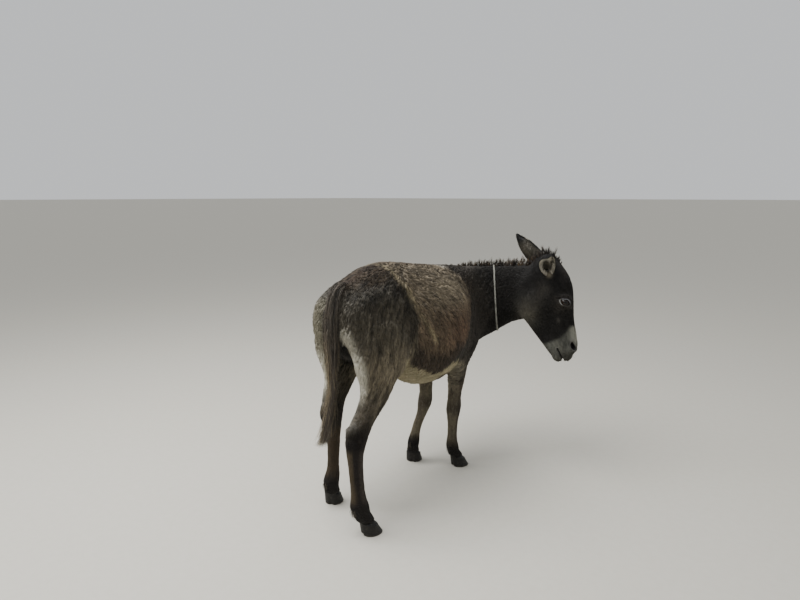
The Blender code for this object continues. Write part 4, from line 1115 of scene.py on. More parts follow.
def grow_coat(skin, ears, courses):
    """Closed four-sided tufts rooted in the skin, in a few pieces by place."""
    tufts = scatter_tufts(skin, ears, courses)
    points, flow, calm, lock = comb_tufts(tufts)
    colours = tuft_colours(tufts, flow, calm, lock)
    faces = np.array([(0, 2, 3), (1, 3, 2), (0, 1, 2), (0, 3, 1)])
    spot = np.array([(-0.5, 0.0), (0.5, 0.0), (0.0, 0.45), (0.0, 1.0)]) * PATCH
    q = own(tufts.root)
    names = ("ears", "head", "legs", "neck", "shoulder", "barrel", "quarters")
    place = np.select([tufts.on_ear, head_share(tufts.root) > 0.5, limb_share(q) > 0.5,
                       q[:, 0] > 0.33, q[:, 0] > 0.05, q[:, 0] > -0.20], names[:-1], names[-1])
    made = []
    for name in names:
        here = np.flatnonzero(place == name)
        parts = max(1, math.ceil(len(here) / TUFT_LIMIT))
        for number, part in enumerate(np.array_split(here, parts)):
            every = (faces[None] + np.arange(len(part))[:, None, None] * 4).reshape(-1, 3)
            patches = (tufts.patch[part][:, None, None] + spot[faces][None]).reshape(-1, 2)
            label = f"coat_{name}" + (f"_{number + 1}" if parts > 1 else "")
            made.append(build(label, points[part].reshape(-1, 3), every,
                              colours[part].reshape(-1, 3), patches))
    return made


# ---------------------------------------------------------------- long hair
# Crest of the neck: forward, left, up, height of the hair, half width.
MANE = (
    (0.300, 0.000, 1.020, 0.012, 0.008), (0.420, -0.070, 1.020, 0.030, 0.010),
    (0.480, -0.155, 1.022, 0.040, 0.011), (0.503, -0.240, 1.028, 0.040, 0.011),
    (0.508, -0.320, 1.034, 0.044, 0.011), (0.508, -0.368, 1.043, 0.048, 0.010),
)
# Top of the head: down, front, how far the hair rises and leans to the front, half width.
FORELOCK = (
    (0.016, -0.048, 0.046, -0.004, 0.010), (0.002, -0.026, 0.054, 0.000, 0.012),
    (-0.010, 0.000, 0.052, 0.004, 0.014), (-0.004, 0.035, 0.048, 0.006, 0.014),
    (0.012, 0.056, 0.024, 0.006, 0.010), (0.030, 0.070, 0.010, 0.006, 0.006),
)
# Line of the tail: forward, left, up, half width.
TAIL = (
    (-0.440, 0.000, 1.025, .024), (-0.496, -0.004, 0.990, .028), (-0.530, -0.013, 0.900, .031),
    (-0.539, -0.016, 0.800, .030), (-0.542, -0.018, 0.690, .019), (-0.547, -0.016, 0.570, .014),
    (-0.562, 0.002, 0.430, .018), (-0.578, 0.024, 0.350, .006),
)
MANE_LOCKS, MANE_EACH = 150, 13          # locks of hair, and hairs in each
FORELOCK_LOCKS, FORELOCK_EACH = 60, 15
TAIL_LOCKS, TAIL_EACH = 130, 14
TAIL_POINTS = 16                         # points along a tail hair
UPRIGHT_POINTS = 6
STUBBLE_POINTS = 5
MANE_TINTS = ("#1c1714", "#2a221c", "#3b2f24", "#57462f", "#15110f")
FORELOCK_TINTS = ("#1a1512", "#272019", "#3a2e22", "#14100e")
TAIL_TINTS = ("#443e35", "#554d45", "#4c463c", "#695f53", "#2f2b26")
SWITCH_TINTS = ("#8a7d66", "#a09178", "#655841", "#b3a485", "#483d2e")
FETLOCK_TINTS = ("#1b1714", "#2c2621", "#5f574a")
BREAST_TINTS = ("#1d1815", "#2a231e")
EAR_TINTS = ("#e2dccf", "#cdc6b7", "#efeae0", "#a69e90")
# hair of the ear's dark spot and strip: partly dark hair, partly painted shade
EAR_DARK_AND_SHADED_SPOT_TINTS = ("#2c291d", "#211f16", "#4a4632")
EAR_DARK_AND_SHADED_STRIP_TINTS = ("#1b1814", "#2a251e")
LIP_TINT = "#2a2522"
LASH_TINT = "#0d0b0a"
LIP_HAIRS = 70
LASHES = 46              # on each upper lid
FETLOCK_HAIRS = 90       # behind each fetlock
BREAST_HAIRS = 46
EAR_HAIRS = 1500         # in each ear


def shaded(count, steps, codes, spread):
    """Colours for strands: each drawn from a few hair colours, darker at the root, paler at the tip."""
    base = np.stack([srgb(c) for c in codes])[rng.integers(0, len(codes), count)]
    base = base * np.clip(rng.normal(1, spread, (count, 1)), 0.4, 1.8)
    return base[:, None] * np.linspace(0.7, 1.25, steps)[None, :, None]


def root_patches(places):
    """Bake map places of the skin nearest to some roots."""
    mesh = skin.data
    uv = bake_places(mesh)
    tree = BVHTree.FromPolygons([v.co for v in mesh.vertices], [p.vertices for p in mesh.polygons])
    return np.array([uv[mesh.polygons[tree.find_nearest(Vector(p))[2]].loop_start] for p in places])


def upright_hair(name, roots, tips, halves, locks, each, codes):
    """Spiky locks on a line of roots: each lock's hairs meet near its tip."""
    count = locks * each
    lock = np.repeat(np.arange(locks), each)
    spot = np.sort(rng.random(locks))[lock] + rng.normal(0, 0.005, count)
    spot = np.clip(spot, 0, 1) * (len(roots) - 1)
    root = between(roots, spot)
    half = between(halves[:, None], spot)
    course = unit(np.diff(roots, axis=0))[np.minimum(spot.astype(int), len(roots) - 2)]
    rise = between(tips, spot) - root
    side = unit(np.cross(course, rise))
    size = np.clip(rng.normal(0.76, 0.27, locks), 0.25, 1.15)[lock][:, None]
    tilt = rng.normal(0, 0.34, locks)[lock][:, None]
    lean = rng.normal(0, 0.30, locks)[lock][:, None]
    across = rng.uniform(-1, 1, count)[:, None]
    root = root + side * across * half
    tall = np.linalg.norm(rise, axis=1, keepdims=True)
    reach = rise * size * np.clip(rng.normal(1, 0.10, (count, 1)), 0.6, 1.15)
    end = (root + reach + course * tall * tilt - side * across * half * 0.75 + side * tall * lean
           + rng.normal(0, 0.0022, (count, 3)))
    t = np.linspace(0, 1, UPRIGHT_POINTS)[None, :, None]
    bend = side * rng.normal(0, 0.05, (count, 1)) * tall
    paths = root[:, None] * (1 - t) + end[:, None] * t + bend[:, None] * (4 * t * (1 - t))
    paths = paths - reach[:, None] * 0.12 * (1 - t)
    widths = rng.uniform(0.0011, 0.0019, (count, 1)) * np.linspace(1, 0.35, UPRIGHT_POINTS)
    return strands(name, paths, widths, shaded(count, UPRIGHT_POINTS, codes, 0.25), root_patches(root))


def make_mane():
    """Short upright mane along the crest of the neck."""
    rows = spline(MANE, 8)
    roots = at(rows[:, :3])
    tips = at(rows[:, :3] + rows[:, 3:4] * (0, 0, 1))
    return upright_hair("mane_hair", roots, tips, rows[:, 4], MANE_LOCKS, MANE_EACH, MANE_TINTS)


def make_forelock():
    """Upright tuft between the ears and down onto the forehead."""
    rows = spline(FORELOCK, 8)
    roots = in_head(np.stack([rows[:, 0] + 0.004, rows[:, 1], rows[:, 0] * 0], 1))
    tips = in_head(np.stack([rows[:, 0] - rows[:, 2], rows[:, 1] + rows[:, 3], rows[:, 0] * 0], 1))
    return upright_hair("forelock_hair", roots, tips, rows[:, 4],
                        FORELOCK_LOCKS, FORELOCK_EACH, FORELOCK_TINTS)


def make_tail():
    """Long hair down both sides of the dock and on into the switch."""
    rows = spline(TAIL, 10)
    line = at(rows[:, :3])
    course = unit(np.gradient(line, axis=0))
    left = np.tile(way((0.0, 1.0, 0.0)), (len(rows), 1))
    back = unit(np.cross(left, course))
    back *= np.sign((back * way((-1.0, 0.0, 0.0))).sum(1, keepdims=True))
    count = TAIL_LOCKS * TAIL_EACH
    lock = np.repeat(np.arange(TAIL_LOCKS), TAIL_EACH)
    begin = np.sort(rng.beta(1.0, 1.5, TAIL_LOCKS)) * 0.60 + 0.04
    finish = np.clip(rng.normal(0.90, 0.09, TAIL_LOCKS), begin + 0.22, 1.0)
    short = rng.random(TAIL_LOCKS) < 0.40
    finish = np.where(short, np.clip(begin + rng.uniform(0.16, 0.36, TAIL_LOCKS), 0, 0.92), finish)
    turn = rng.uniform(0, 2 * math.pi, TAIL_LOCKS)
    deep = np.sqrt(rng.uniform(0.35, 1.0, TAIL_LOCKS))
    run = np.linspace(0, 1, TAIL_POINTS)
    top = np.clip(begin[lock] + rng.normal(0, 0.012, count), 0.02, 0.70)
    end = np.clip(finish[lock] + rng.normal(0, 0.022, count), top + 0.08, 1.0)
    t = top[:, None] + (end - top)[:, None] * run
    spot = t * (len(rows) - 1)
    half = between(rows[:, 3:4], spot)[..., 0]
    wander = np.stack([t * 3.0, np.broadcast_to(lock[:, None] * 1.7, t.shape), t * 0], -1)
    angle = turn[lock][:, None] + 0.45 * noise(wander, 1.0, 31)
    radius = half * (deep[lock][:, None] * (0.92 + 0.22 * noise(wander, 1.0, 32)))
    loose = (1 - 0.55 * run ** 1.5) * 0.0060
    fray = np.clip(run - 0.75, 0, 1) * 0.05         # the ends of the hair spread a little
    stray = rng.normal(0, 1, (count, 1, 3)) * loose[None, :, None]
    stray = stray + np.clip(rng.normal(0, 1, (count, 1, 3)), -1.8, 1.8) * fray[None, :, None]
    stray[..., 2] = 0
    sunk = np.where(run < 0.05, 0.45, 1.0)          # roots lie inside the dock
    radius = np.minimum(radius, half * 1.02) * sunk
    ring = np.minimum(spot.astype(int), len(rows) - 2)
    paths = (between(line, spot) + left[ring] * (np.cos(angle) * radius)[..., None]
             + back[ring] * (np.sin(angle) * radius * 0.8)[..., None] + stray)
    widths = rng.uniform(0.0012, 0.0021, (count, 1)) * np.linspace(1, 0.35, TAIL_POINTS)
    colours = shaded(count, TAIL_POINTS, TAIL_TINTS, 0.25)
    warm_lock = (rng.random(TAIL_LOCKS) < np.where(np.cos(turn) > -0.1, 0.80, 0.30))[lock]
    warm = shaded(count, TAIL_POINTS, SWITCH_TINTS, 0.22)
    share = (warm_lock[:, None] * step(own(paths)[..., 2], 0.86, 0.66))[..., None]
    colours = colours * (1 - share) + warm * share
    return strands("tail_hair", paths, widths, colours, root_patches(paths[:, 0]))


def make_whiskers():
    """Stiff hairs on lips and chin, lashes, tufts behind the fetlocks, and a wisp at the breast."""
    tree = BVHTree.FromObject(skin, bpy.context.evaluated_depsgraph_get())
    paths, widths, codes = [], [], []

    def hair(root, course, length, droop, width, code):
        t = np.linspace(0, 1, STUBBLE_POINTS)[:, None]
        paths.append(root + course * length * t - UP * droop * length * t ** 2)
        widths.append(width * np.linspace(1, 0.3, STUBBLE_POINTS))
        codes.append(code)

    def surface(place):
        """The skin's point nearest to a place, a little under the surface, and its outward way."""
        found, out, _, _ = tree.find_nearest(Vector(place))
        return np.array(found) - np.array(out) * 0.001, np.array(out)

    for _ in range(LIP_HAIRS):
        lip = (rng.uniform(0.430, 0.490), rng.choice((-0.045, -0.02, 0.03, 0.05)) + rng.normal(0, 0.008),
               rng.uniform(-0.045, 0.045))
        root, out = surface(in_head(lip))
        course = unit(out + 0.5 * HEAD_DOWN + rng.normal(0, 0.15, 3))
        hair(root, course, rng.uniform(0.008, 0.022), 0.1, 0.0005, LIP_TINT)
    for sign in (1, -1):
        for _ in range(LASHES):
            angle = rng.uniform(0.08, 0.92) * math.pi
            e = np.array([[math.cos(angle), math.sin(angle), 0.0]])
            e /= lid_reach(e)[:, None]
            e[0, 2] = max(float(on_ball(e, LID_SKIN)[0]), LID_FLOOR) + 0.0002
            root = from_eye_frame(e, sign)[0]
            ahead = from_eye_frame(e + [[e[0, 0] * 0.25, 0.004, 0.010]], sign)[0] - root
            hair(root, unit(ahead), rng.uniform(0.006, 0.010), 0.35, 0.0005, LASH_TINT)
    for line in CANNONS.values():
        forward, left, up = line[-1]
        for _ in range(FETLOCK_HAIRS):
            place = at((forward - 0.04, left + rng.uniform(-0.016, 0.016), up + rng.uniform(-0.028, 0.010)))
            root, out = surface(place)
            course = unit(out * 0.55 - UP + rng.normal(0, 0.10, 3))
            hair(root, course, rng.uniform(0.012, 0.024), 0.1, 0.0012, rng.choice(FETLOCK_TINTS))
    for _ in range(BREAST_HAIRS):
        root, out = surface(at((0.505 + rng.normal(0, 0.006), -0.140 + rng.normal(0, 0.012), 0.715)))
        course = unit(out * 0.5 - UP + rng.normal(0, 0.10, 3))
        hair(root, course, rng.uniform(0.012, 0.030), 0.0, 0.0011, rng.choice(BREAST_TINTS))
    paths = np.array(paths)
    lighter = np.linspace(0.8, 1.1, STUBBLE_POINTS)[None, :, None]
    colours = np.stack([srgb(c) for c in codes])[:, None] * lighter
    return strands("whiskers_and_lashes", paths, np.array(widths), colours, root_patches(paths[:, 0]))


def make_ear_hair():
    """Long pale hair from both edges of each ear, lying across its opening, thickest low down."""
    mesh_co, _ = read(skin.data)
    run = np.linspace(0, 1, STUBBLE_POINTS)[:, None]
    paths, shades = [], []
    for name in EARS:
        _, course, opening = ear_axes(name)
        here = (ears[:, 2] > 0.5) & (np.abs(courses @ course) > 0.999)
        long_way, edge = ears[:, 0], np.abs(ears[:, 1])
        roots = np.flatnonzero(here & (edge > 0.55) & (edge < 0.93) & (long_way > 0.0) & (long_way < 0.86))
        likely = (1.15 - long_way[roots]) ** 4
        for i in rng.choice(roots, EAR_HAIRS, p=likely / likely.sum()):
            t, x, _ = ears[i]
            back = np.flatnonzero(here & (np.abs(long_way - t) < 0.03) & (edge < 0.2))
            inward = unit(mesh_co[back].mean(0) - mesh_co[i]) if len(back) else -opening
            across = inward - course * (inward @ course)
            heading = unit(unit(across) * 0.42 + opening * 0.10 + course * 0.9 + rng.normal(0, 0.12, 3))
            long = rng.uniform(0.010, 0.022) * (1.35 - 0.6 * t) * (1 - 0.45 * (0.30 < t < 0.70))
            paths.append(mesh_co[i] + heading * long * run + unit(across) * long * 0.30 * run ** 2)
            # hairs in the spot and the strip take their dark colours: partly their own, partly painted
            # shade
            strip_of_dark_hair_and_shade = 0.56 < x < 0.82 and t > 0.04
            spot_of_dark_hair_and_shade = -0.82 < x < 0 and 0.02 < t < 0.22
            tints = EAR_DARK_AND_SHADED_STRIP_TINTS if strip_of_dark_hair_and_shade else EAR_DARK_AND_SHADED_SPOT_TINTS if spot_of_dark_hair_and_shade else EAR_TINTS
            shades.append(srgb(rng.choice(tints)))
    paths, shades = np.array(paths), np.array(shades)
    widths = rng.uniform(0.0007, 0.0012, (len(paths), 1)) * np.linspace(1, 0.3, STUBBLE_POINTS)
    colours = shades[:, None] * np.linspace(0.85, 1.1, STUBBLE_POINTS)[None, :, None]
    return strands("ear_hair", paths, widths, colours, root_patches(paths[:, 0]))


# ---------------------------------------------------------------- eyes
def make_eye(name, sign):
    """Eyeball with a clear domed front over a brown iris and a long level pupil."""
    bpy.ops.mesh.primitive_uv_sphere_add(segments=64, ring_count=40, radius=1)
    ball = bpy.context.object
    ball.name = name
    co, _ = read(ball.data)
    front = co[:, 2] > 0
    dome = np.exp(-(np.arccos(np.clip(co[:, 2], -1, 1)) / 0.62) ** 4)
    rings = np.hypot(co[:, 0], co[:, 1])
    pupil = np.sqrt((co[:, 0] / 0.46) ** 2 + (co[:, 1] / 0.23) ** 2)
    iris = step(rings, 0.74, 0.68) * front
    wheel = np.stack([np.arctan2(co[:, 1], co[:, 0]) * 3, rings * 2, rings * 0], 1)
    fibre = 1 + 0.25 * noise(wheel, 0.12, 41)
    colour = srgb("#2c2420")[None] * (1 - iris[:, None]) + srgb("#1c120b")[None] * (iris * fibre)[:, None]
    colour = colour * (1 - 0.6 * peak(rings, 0.71, 0.05) * front)[:, None]
    colour = over(colour, "#050506", step(pupil, 1.08, 0.94) * front)
    look = unit(np.array([0.06, 0.20, sign * 0.97]) @ HEAD_AXES)
    along_slit = HEAD_DOWN * math.cos(EYE_SLANT) + HEAD_FRONT * math.sin(EYE_SLANT)
    along_slit = unit(along_slit - look * (along_slit @ look))
    across = np.cross(look, along_slit)
    radius = EYE_RADIUS * (1 + 0.035 * dome)
    turned = (co[:, 0:1] * along_slit + co[:, 1:2] * across + co[:, 2:3] * look) * radius[:, None]
    write(ball.data, in_head(EYE * (1, 1, sign)) + turned)
    paint(ball.data, colour)
    ball.data.shade_smooth()
    return ball


# ---------------------------------------------------------------- hooves
HOOF_RINGS = 26
HOOF_WAVES = 44          # growth rings on the wall, as waves per hoof height
HALF_LONG, HALF_WIDE = 0.0500, 0.0410    # half the sole's length and width
FRONT_TALL = 0.0521      # height of the coronet over the floor, at the middle
TOE_OUT = math.radians(24)
CORONET_SLOPE = math.radians(16)


def make_hoof(name, node):
    """Horn wall with growth rings under a soft coronet band, heels behind, sole hollowed below."""
    _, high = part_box(node)
    turn = TOE_OUT if "left" in node else -TOE_OUT
    ahead = way((math.cos(turn), math.sin(turn), 0.0))
    side = np.cross(UP, ahead)
    co, _ = read(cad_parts[node].data)
    crown = co[co[:, 2] > high.z - 0.034].mean(0)
    flat = co[co[:, 2] < 0.002]
    foot = (flat.max(0) + flat.min(0)) / 2
    bpy.ops.mesh.primitive_cylinder_add(vertices=64, radius=1, depth=1, end_fill_type="NGON")
    hoof = bpy.context.object
    hoof.name = name
    bpy.ops.object.mode_set(mode="EDIT")
    for i in range(1, HOOF_RINGS):
        bpy.ops.mesh.select_all(action="SELECT")
        bpy.ops.mesh.bisect(plane_co=(0, 0, i / HOOF_RINGS - 0.5), plane_no=(0, 0, 1))
    bpy.ops.object.mode_set(mode="OBJECT")
    for level in (0.5, -0.5):
        for face in hoof.data.polygons:
            face.select = abs(face.normal.z) > 0.9 and abs(face.center.z - level) < 0.01
        bpy.ops.object.mode_set(mode="EDIT")
        bpy.ops.mesh.select_mode(type="FACE")
        for thickness in (0.10, 0.12, 0.25, 0.25):
            bpy.ops.mesh.inset(thickness=thickness)
        bpy.ops.object.mode_set(mode="OBJECT")
    p, _ = read(hoof.data)
    t = p[:, 2] + 0.5
    centre = np.hypot(p[:, 0], p[:, 1])
    angle = np.arctan2(p[:, 1], p[:, 0])
    groove = 0.0005 * np.sin(t * HOOF_WAVES + 0.8 * np.sin(angle * 2))
    groove *= step(t, 0.02, 0.15) * step(t, 0.92, 0.80)
    band = 0.0014 * peak(t, 0.95, 0.06)
    out = centre + (groove + band) / 0.045 * (centre > 0.95)
    out = out - 0.05 * (t < 0.001) * (centre > 0.95) - 0.05 * (t > 0.999) * (centre > 0.95)
    forward = np.cos(angle) * out * HALF_LONG * (1 - 0.16 * t)
    heel = np.clip(-np.cos(angle), 0, 1)
    forward = np.where(forward < 0, forward * 0.82, forward)
    forward += 0.007 * peak(np.abs(angle), math.pi, 0.22) * centre * (1 - t)
    across = np.sin(angle) * out * HALF_WIDE * (1 - 0.12 * t)
    shift = foot[:2] - ahead[:2] * 0.0045
    reach = crown[:2] - shift
    place = np.zeros_like(p)
    place[:, :2] = shift + reach * t[:, None] * 0.92
    place[:, :2] += ahead[:2] * forward[:, None] + side[:2] * across[:, None]
    slope = (place[:, :2] - crown[:2]) @ ahead[:2] * math.tan(CORONET_SLOPE)
    place[:, 2] = t * (FRONT_TALL - slope)
    inside = 1 - step(centre, 0.55, 0.95)
    place[:, 2] += np.where(t > 0.999, 0.014 * inside, 0) + np.where(t < 0.001, 0.005 * inside, 0)
    place[:, 2] = np.maximum(place[:, 2], 0)
    write(hoof.data, place)
    grain = (1 + 0.14 * np.sin(t * HOOF_WAVES) + 0.18 * noise(place, 0.006, 51)
             + 0.16 * noise(place * (1, 1, 0.2), 0.003, 52))
    colour = srgb("#1b1917")[None] * grain[:, None]
    colour = over(colour, "#0f0e0d", step(t, 0.66, 0.98) * 0.8)
    colour = over(colour, "#6a655b", step(t, 0.16, 0.03) * 0.50)
    colour = over(colour, "#141211", step(heel, 0.55, 0.95) * 0.6)
    paint(hoof.data, colour)
    hoof.data.shade_smooth()
    return hoof


# ---------------------------------------------------------------- neck rope
ROPE_STRAND = 0.0024     # half the thickness of each of the three strands
ROPE_LAY = 0.016         # length of one turn of a strand
ROPE_REST = 0.0085       # the rope's middle lies this far over the skin, on the coat
STRAND_OUT = 0.0020      # from the rope's middle to the middle of a strand
STRANDS, STRAND_SIDES = 3, 7
STEPS_PER_TURN = 9
LINE_STEPS = 24          # places between two rings of the solid
ROPE_FIBRES = 420
FIBRE_POINTS = 4
FIBRE_TINTS = ("#8f8978", "#756f60")


def rope_line():
    """Middle points of the rope, from the rings of its solid."""
    co, _ = read(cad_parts["neck_rope"].data)
    left = {tuple(np.round(p, 5)) for p in co}
    rings = []
    while left:
        ring = [left.pop()]
        for point in ring:
            close = [p for p in left if math.dist(p, point) < 0.0055]
            left.difference_update(close)
            ring += close
        rings.append(np.mean(ring, axis=0))
    rings = np.array(rings)
    middle = rings.mean(0)
    _, _, planes = np.linalg.svd(rings - middle)
    turn = np.arctan2((rings - middle) @ planes[1], (rings - middle) @ planes[0])
    return rings[np.argsort(turn)]


def lay_on_coat(line):
    """Draw a closed line in until it rests on the coat, and smooth it."""
    tree = BVHTree.FromObject(skin, bpy.context.evaluated_depsgraph_get())
    for _ in range(3):
        for k, place in enumerate(line):
            found, out, _, away = tree.find_nearest(Vector(place))
            if away > ROPE_REST and (Vector(place) - found).dot(out) > 0:
                line[k] = np.array(found) + np.array(out) * ROPE_REST
        line = sum(np.roll(line, k, 0) for k in range(-9, 10)) / 19
    return line


def make_rope():
    """Three strands twisted round one closed line, with loose fibres standing off them."""
    line = rope_line()
    n = len(line)
    shares = np.linspace(0, 1, LINE_STEPS, endpoint=False)
    dense = np.array([curve(line[i - 1], line[i], line[(i + 1) % n], line[(i + 2) % n], t)
                      for i in range(n) for t in shares])
    dense = lay_on_coat(dense)
    steps = np.linalg.norm(np.roll(dense, -1, 0) - dense, axis=1)
    length = steps.sum()
    turns = round(length / ROPE_LAY)
    run = np.concatenate([[0], np.cumsum(steps)[:-1]]) / length
    count = turns * STEPS_PER_TURN
    spots = np.arange(count) / count
    closed = np.concatenate([dense, dense[:1]])
    middle = np.stack([np.interp(spots, np.append(run, 1), closed[:, k]) for k in range(3)], 1)
    course = unit(np.roll(middle, -1, 0) - np.roll(middle, 1, 0))
    centre = middle.mean(0)
    away = unit(middle - centre - course * ((middle - centre) * course).sum(1, keepdims=True))
    side = np.cross(course, away)
    points, faces = [], []
    for strand in range(STRANDS):
        angle = 2 * math.pi * (turns * spots + strand / STRANDS)
        radial = away * np.cos(angle)[:, None] + side * np.sin(angle)[:, None]
        spine = middle + radial * STRAND_OUT
        spine += rng.normal(0, 0.00012, spine.shape)
        thick = ROPE_STRAND * (1 + 0.10 * noise(spine, 0.012, 61))
        spin = np.cross(course, radial)
        rings = [spine + (radial * math.cos(k) + spin * math.sin(k)) * thick[:, None]
                 for k in np.linspace(0, 2 * math.pi, STRAND_SIDES, endpoint=False)]
        points.append(np.stack(rings, 1).reshape(-1, 3))
        grid = (np.arange(count) + strand * count)[:, None] * STRAND_SIDES + np.arange(STRAND_SIDES)
        ahead, beside = np.roll(grid, -1, 0), np.roll(grid, -1, 1)
        faces.append(np.stack([grid, ahead, np.roll(ahead, -1, 1), beside], -1).reshape(-1, 4))
    rope = build("rope_strands", np.concatenate(points), np.concatenate(faces))
    edit_all(rope, (bpy.ops.mesh.normals_make_consistent, {"inside": False}))
    rope.data.shade_smooth()
    pick = rng.integers(0, count, ROPE_FIBRES)
    start = middle[pick] + unit(rng.normal(size=(ROPE_FIBRES, 3))) * 0.0036
    drift = (unit(start - middle[pick]) * 0.6 + course[pick] * rng.choice((-1, 1), (ROPE_FIBRES, 1))
             + rng.normal(0, 0.3, (ROPE_FIBRES, 3)))
    t = np.linspace(0, 1, FIBRE_POINTS)[None, :, None]
    paths = start[:, None] + unit(drift)[:, None] * t * rng.uniform(0.004, 0.009, (ROPE_FIBRES, 1, 1))
    hairs = strands("rope_fibres", paths, np.full((ROPE_FIBRES, FIBRE_POINTS), 0.0004),
                    shaded(ROPE_FIBRES, FIBRE_POINTS, FIBRE_TINTS, 0.1))
    return rope, hairs


# ---------------------------------------------------------------- materials
def connect(tree, node, values=None, links=None):
    """Set the values of a node's sockets and link others to outputs."""
    for key, value in (values or {}).items():
        node.inputs[key].default_value = value
    for key, source in (links or {}).items():
        tree.links.new(source, node.inputs[key])


def add_node(tree, kind, settings=None, values=None, links=None):
    """Add a node with its settings, socket values and links from other nodes' outputs."""
    made = tree.nodes.new(kind)
    for key, value in (settings or {}).items():
        setattr(made, key, value)
    connect(tree, made, values, links)
    return made


def new_material(name):
    """A material, its tree, its surface shader and the places of a pattern in metres."""
    material = bpy.data.materials.new(name)
    material.use_nodes = True
    tree = material.node_tree
    place = add_node(tree, "ShaderNodeTexCoord").outputs["Object"]
    return material, tree, tree.nodes["Principled BSDF"], place


def colour(code):
    return (*srgb(code), 1)


def own_colour(tree, grain, span):
    """The mesh's own colour, made lighter and darker by a grain; span says from where to where."""
    tint = add_node(tree, "ShaderNodeAttribute", {"attribute_name": "coat"})
    spread = add_node(tree, "ShaderNodeMapRange", None, span, {"Value": grain.outputs["Fac"]})
    mixed = add_node(tree, "ShaderNodeVectorMath", {"operation": "SCALE"}, None,
                     {0: tint.outputs["Color"], "Scale": spread.outputs["Result"]})
    return mixed.outputs["Vector"]


def hair_material(name, roughness, contrast, grain_mm, bump_mm):
    """Hair coloured by its own attribute, with a fine grain along it and a soft dull sheen."""
    material, tree, shader, place = new_material(name)
    grain = add_node(tree, "ShaderNodeTexNoise", None, {"Scale": 1000 / grain_mm, "Detail": 3.0},
                     {"Vector": place})
    lump = add_node(tree, "ShaderNodeBump", None, {"Strength": 0.5, "Distance": bump_mm / 1000},
                    {"Height": grain.outputs["Fac"]})
    span = {"From Min": 0.25, "From Max": 0.75, "To Min": 1 - contrast, "To Max": 1 + contrast}
    connect(tree, shader,
            {"Roughness": roughness, "Specular IOR Level": 0.25,
             "Sheen Weight": 0.05, "Sheen Roughness": 0.5},
            {"Base Color": own_colour(tree, grain, span), "Normal": lump.outputs["Normal"]})
    return material


def hide_material():
    """Haired hide under the tufts: the same markings and painted light, short flat hair as bump, bare skin
    pores.
    """
    material, tree, shader, place = new_material("short_haired_hide")
    flat = add_node(tree, "ShaderNodeMapping", None, {"Scale": (1.0, 1.0, 0.16)}, {"Vector": place})
    hair = add_node(tree, "ShaderNodeTexNoise", None, {"Scale": 900.0, "Detail": 4.0, "Roughness": 0.65},
                    {"Vector": flat.outputs["Vector"]})
    pores = add_node(tree, "ShaderNodeTexVoronoi", None, {"Scale": 700.0}, {"Vector": place})
    first = add_node(tree, "ShaderNodeBump", None, {"Strength": 0.6, "Distance": 0.0008},
                     {"Height": hair.outputs["Fac"]})
    second = add_node(tree, "ShaderNodeBump", None, {"Strength": 0.25, "Distance": 0.0004},
                      {"Height": pores.outputs["Distance"], "Normal": first.outputs["Normal"]})
    span = {"From Min": 0.3, "From Max": 0.7, "To Min": 0.78, "To Max": 1.18}
    connect(tree, shader, {"Roughness": 0.62, "Specular IOR Level": 0.30},
            {"Base Color": own_colour(tree, hair, span), "Normal": second.outputs["Normal"]})
    return material


def eye_material():
    """Living eye: coloured under a clear wet coat that takes sharp reflections."""
    material, tree, shader, place = new_material("wet_eye")
    fibres = add_node(tree, "ShaderNodeTexNoise", None, {"Scale": 1400.0, "Detail": 2.0}, {"Vector": place})
    connect(tree, shader,
            {"Roughness": 0.12, "IOR": 1.376, "Specular IOR Level": 0.35,
             "Coat Weight": 0.15, "Coat Roughness": 0.05},
            {"Base Color": own_colour(tree, fibres, {"To Min": 0.8, "To Max": 1.2})})
    return material


def horn_material():
    """Hoof horn, worn and dusty: fibres run down the wall, dirt lies in patches on it."""
    material, tree, shader, place = new_material("worn_hoof_horn")
    tall = add_node(tree, "ShaderNodeMapping", None, {"Scale": (1.0, 1.0, 0.10)}, {"Vector": place})
    fibres = add_node(tree, "ShaderNodeTexNoise", None, {"Scale": 1100.0, "Detail": 4.0},
                      {"Vector": tall.outputs["Vector"]})
    dust = add_node(tree, "ShaderNodeTexNoise", None, {"Scale": 120.0, "Detail": 5.0}, {"Vector": place})
    dirty = add_node(tree, "ShaderNodeMapRange", None,
                     {"From Min": 0.52, "From Max": 0.72, "To Min": 0.0, "To Max": 0.15},
                     {"Value": dust.outputs["Fac"]})
    worn = own_colour(tree, fibres, {"To Min": 0.65, "To Max": 1.35})
    mixed = add_node(tree, "ShaderNodeMix", {"data_type": "RGBA"}, {"B": colour("#6e685b")},
                     {"Factor": dirty.outputs["Result"], "A": worn})
    lump = add_node(tree, "ShaderNodeBump", None, {"Strength": 0.5, "Distance": 0.0006},
                    {"Height": fibres.outputs["Fac"]})
    connect(tree, shader, {"Roughness": 0.62, "IOR": 1.54, "Specular IOR Level": 0.25},
            {"Base Color": mixed.outputs["Result"], "Normal": lump.outputs["Normal"]})
    return material


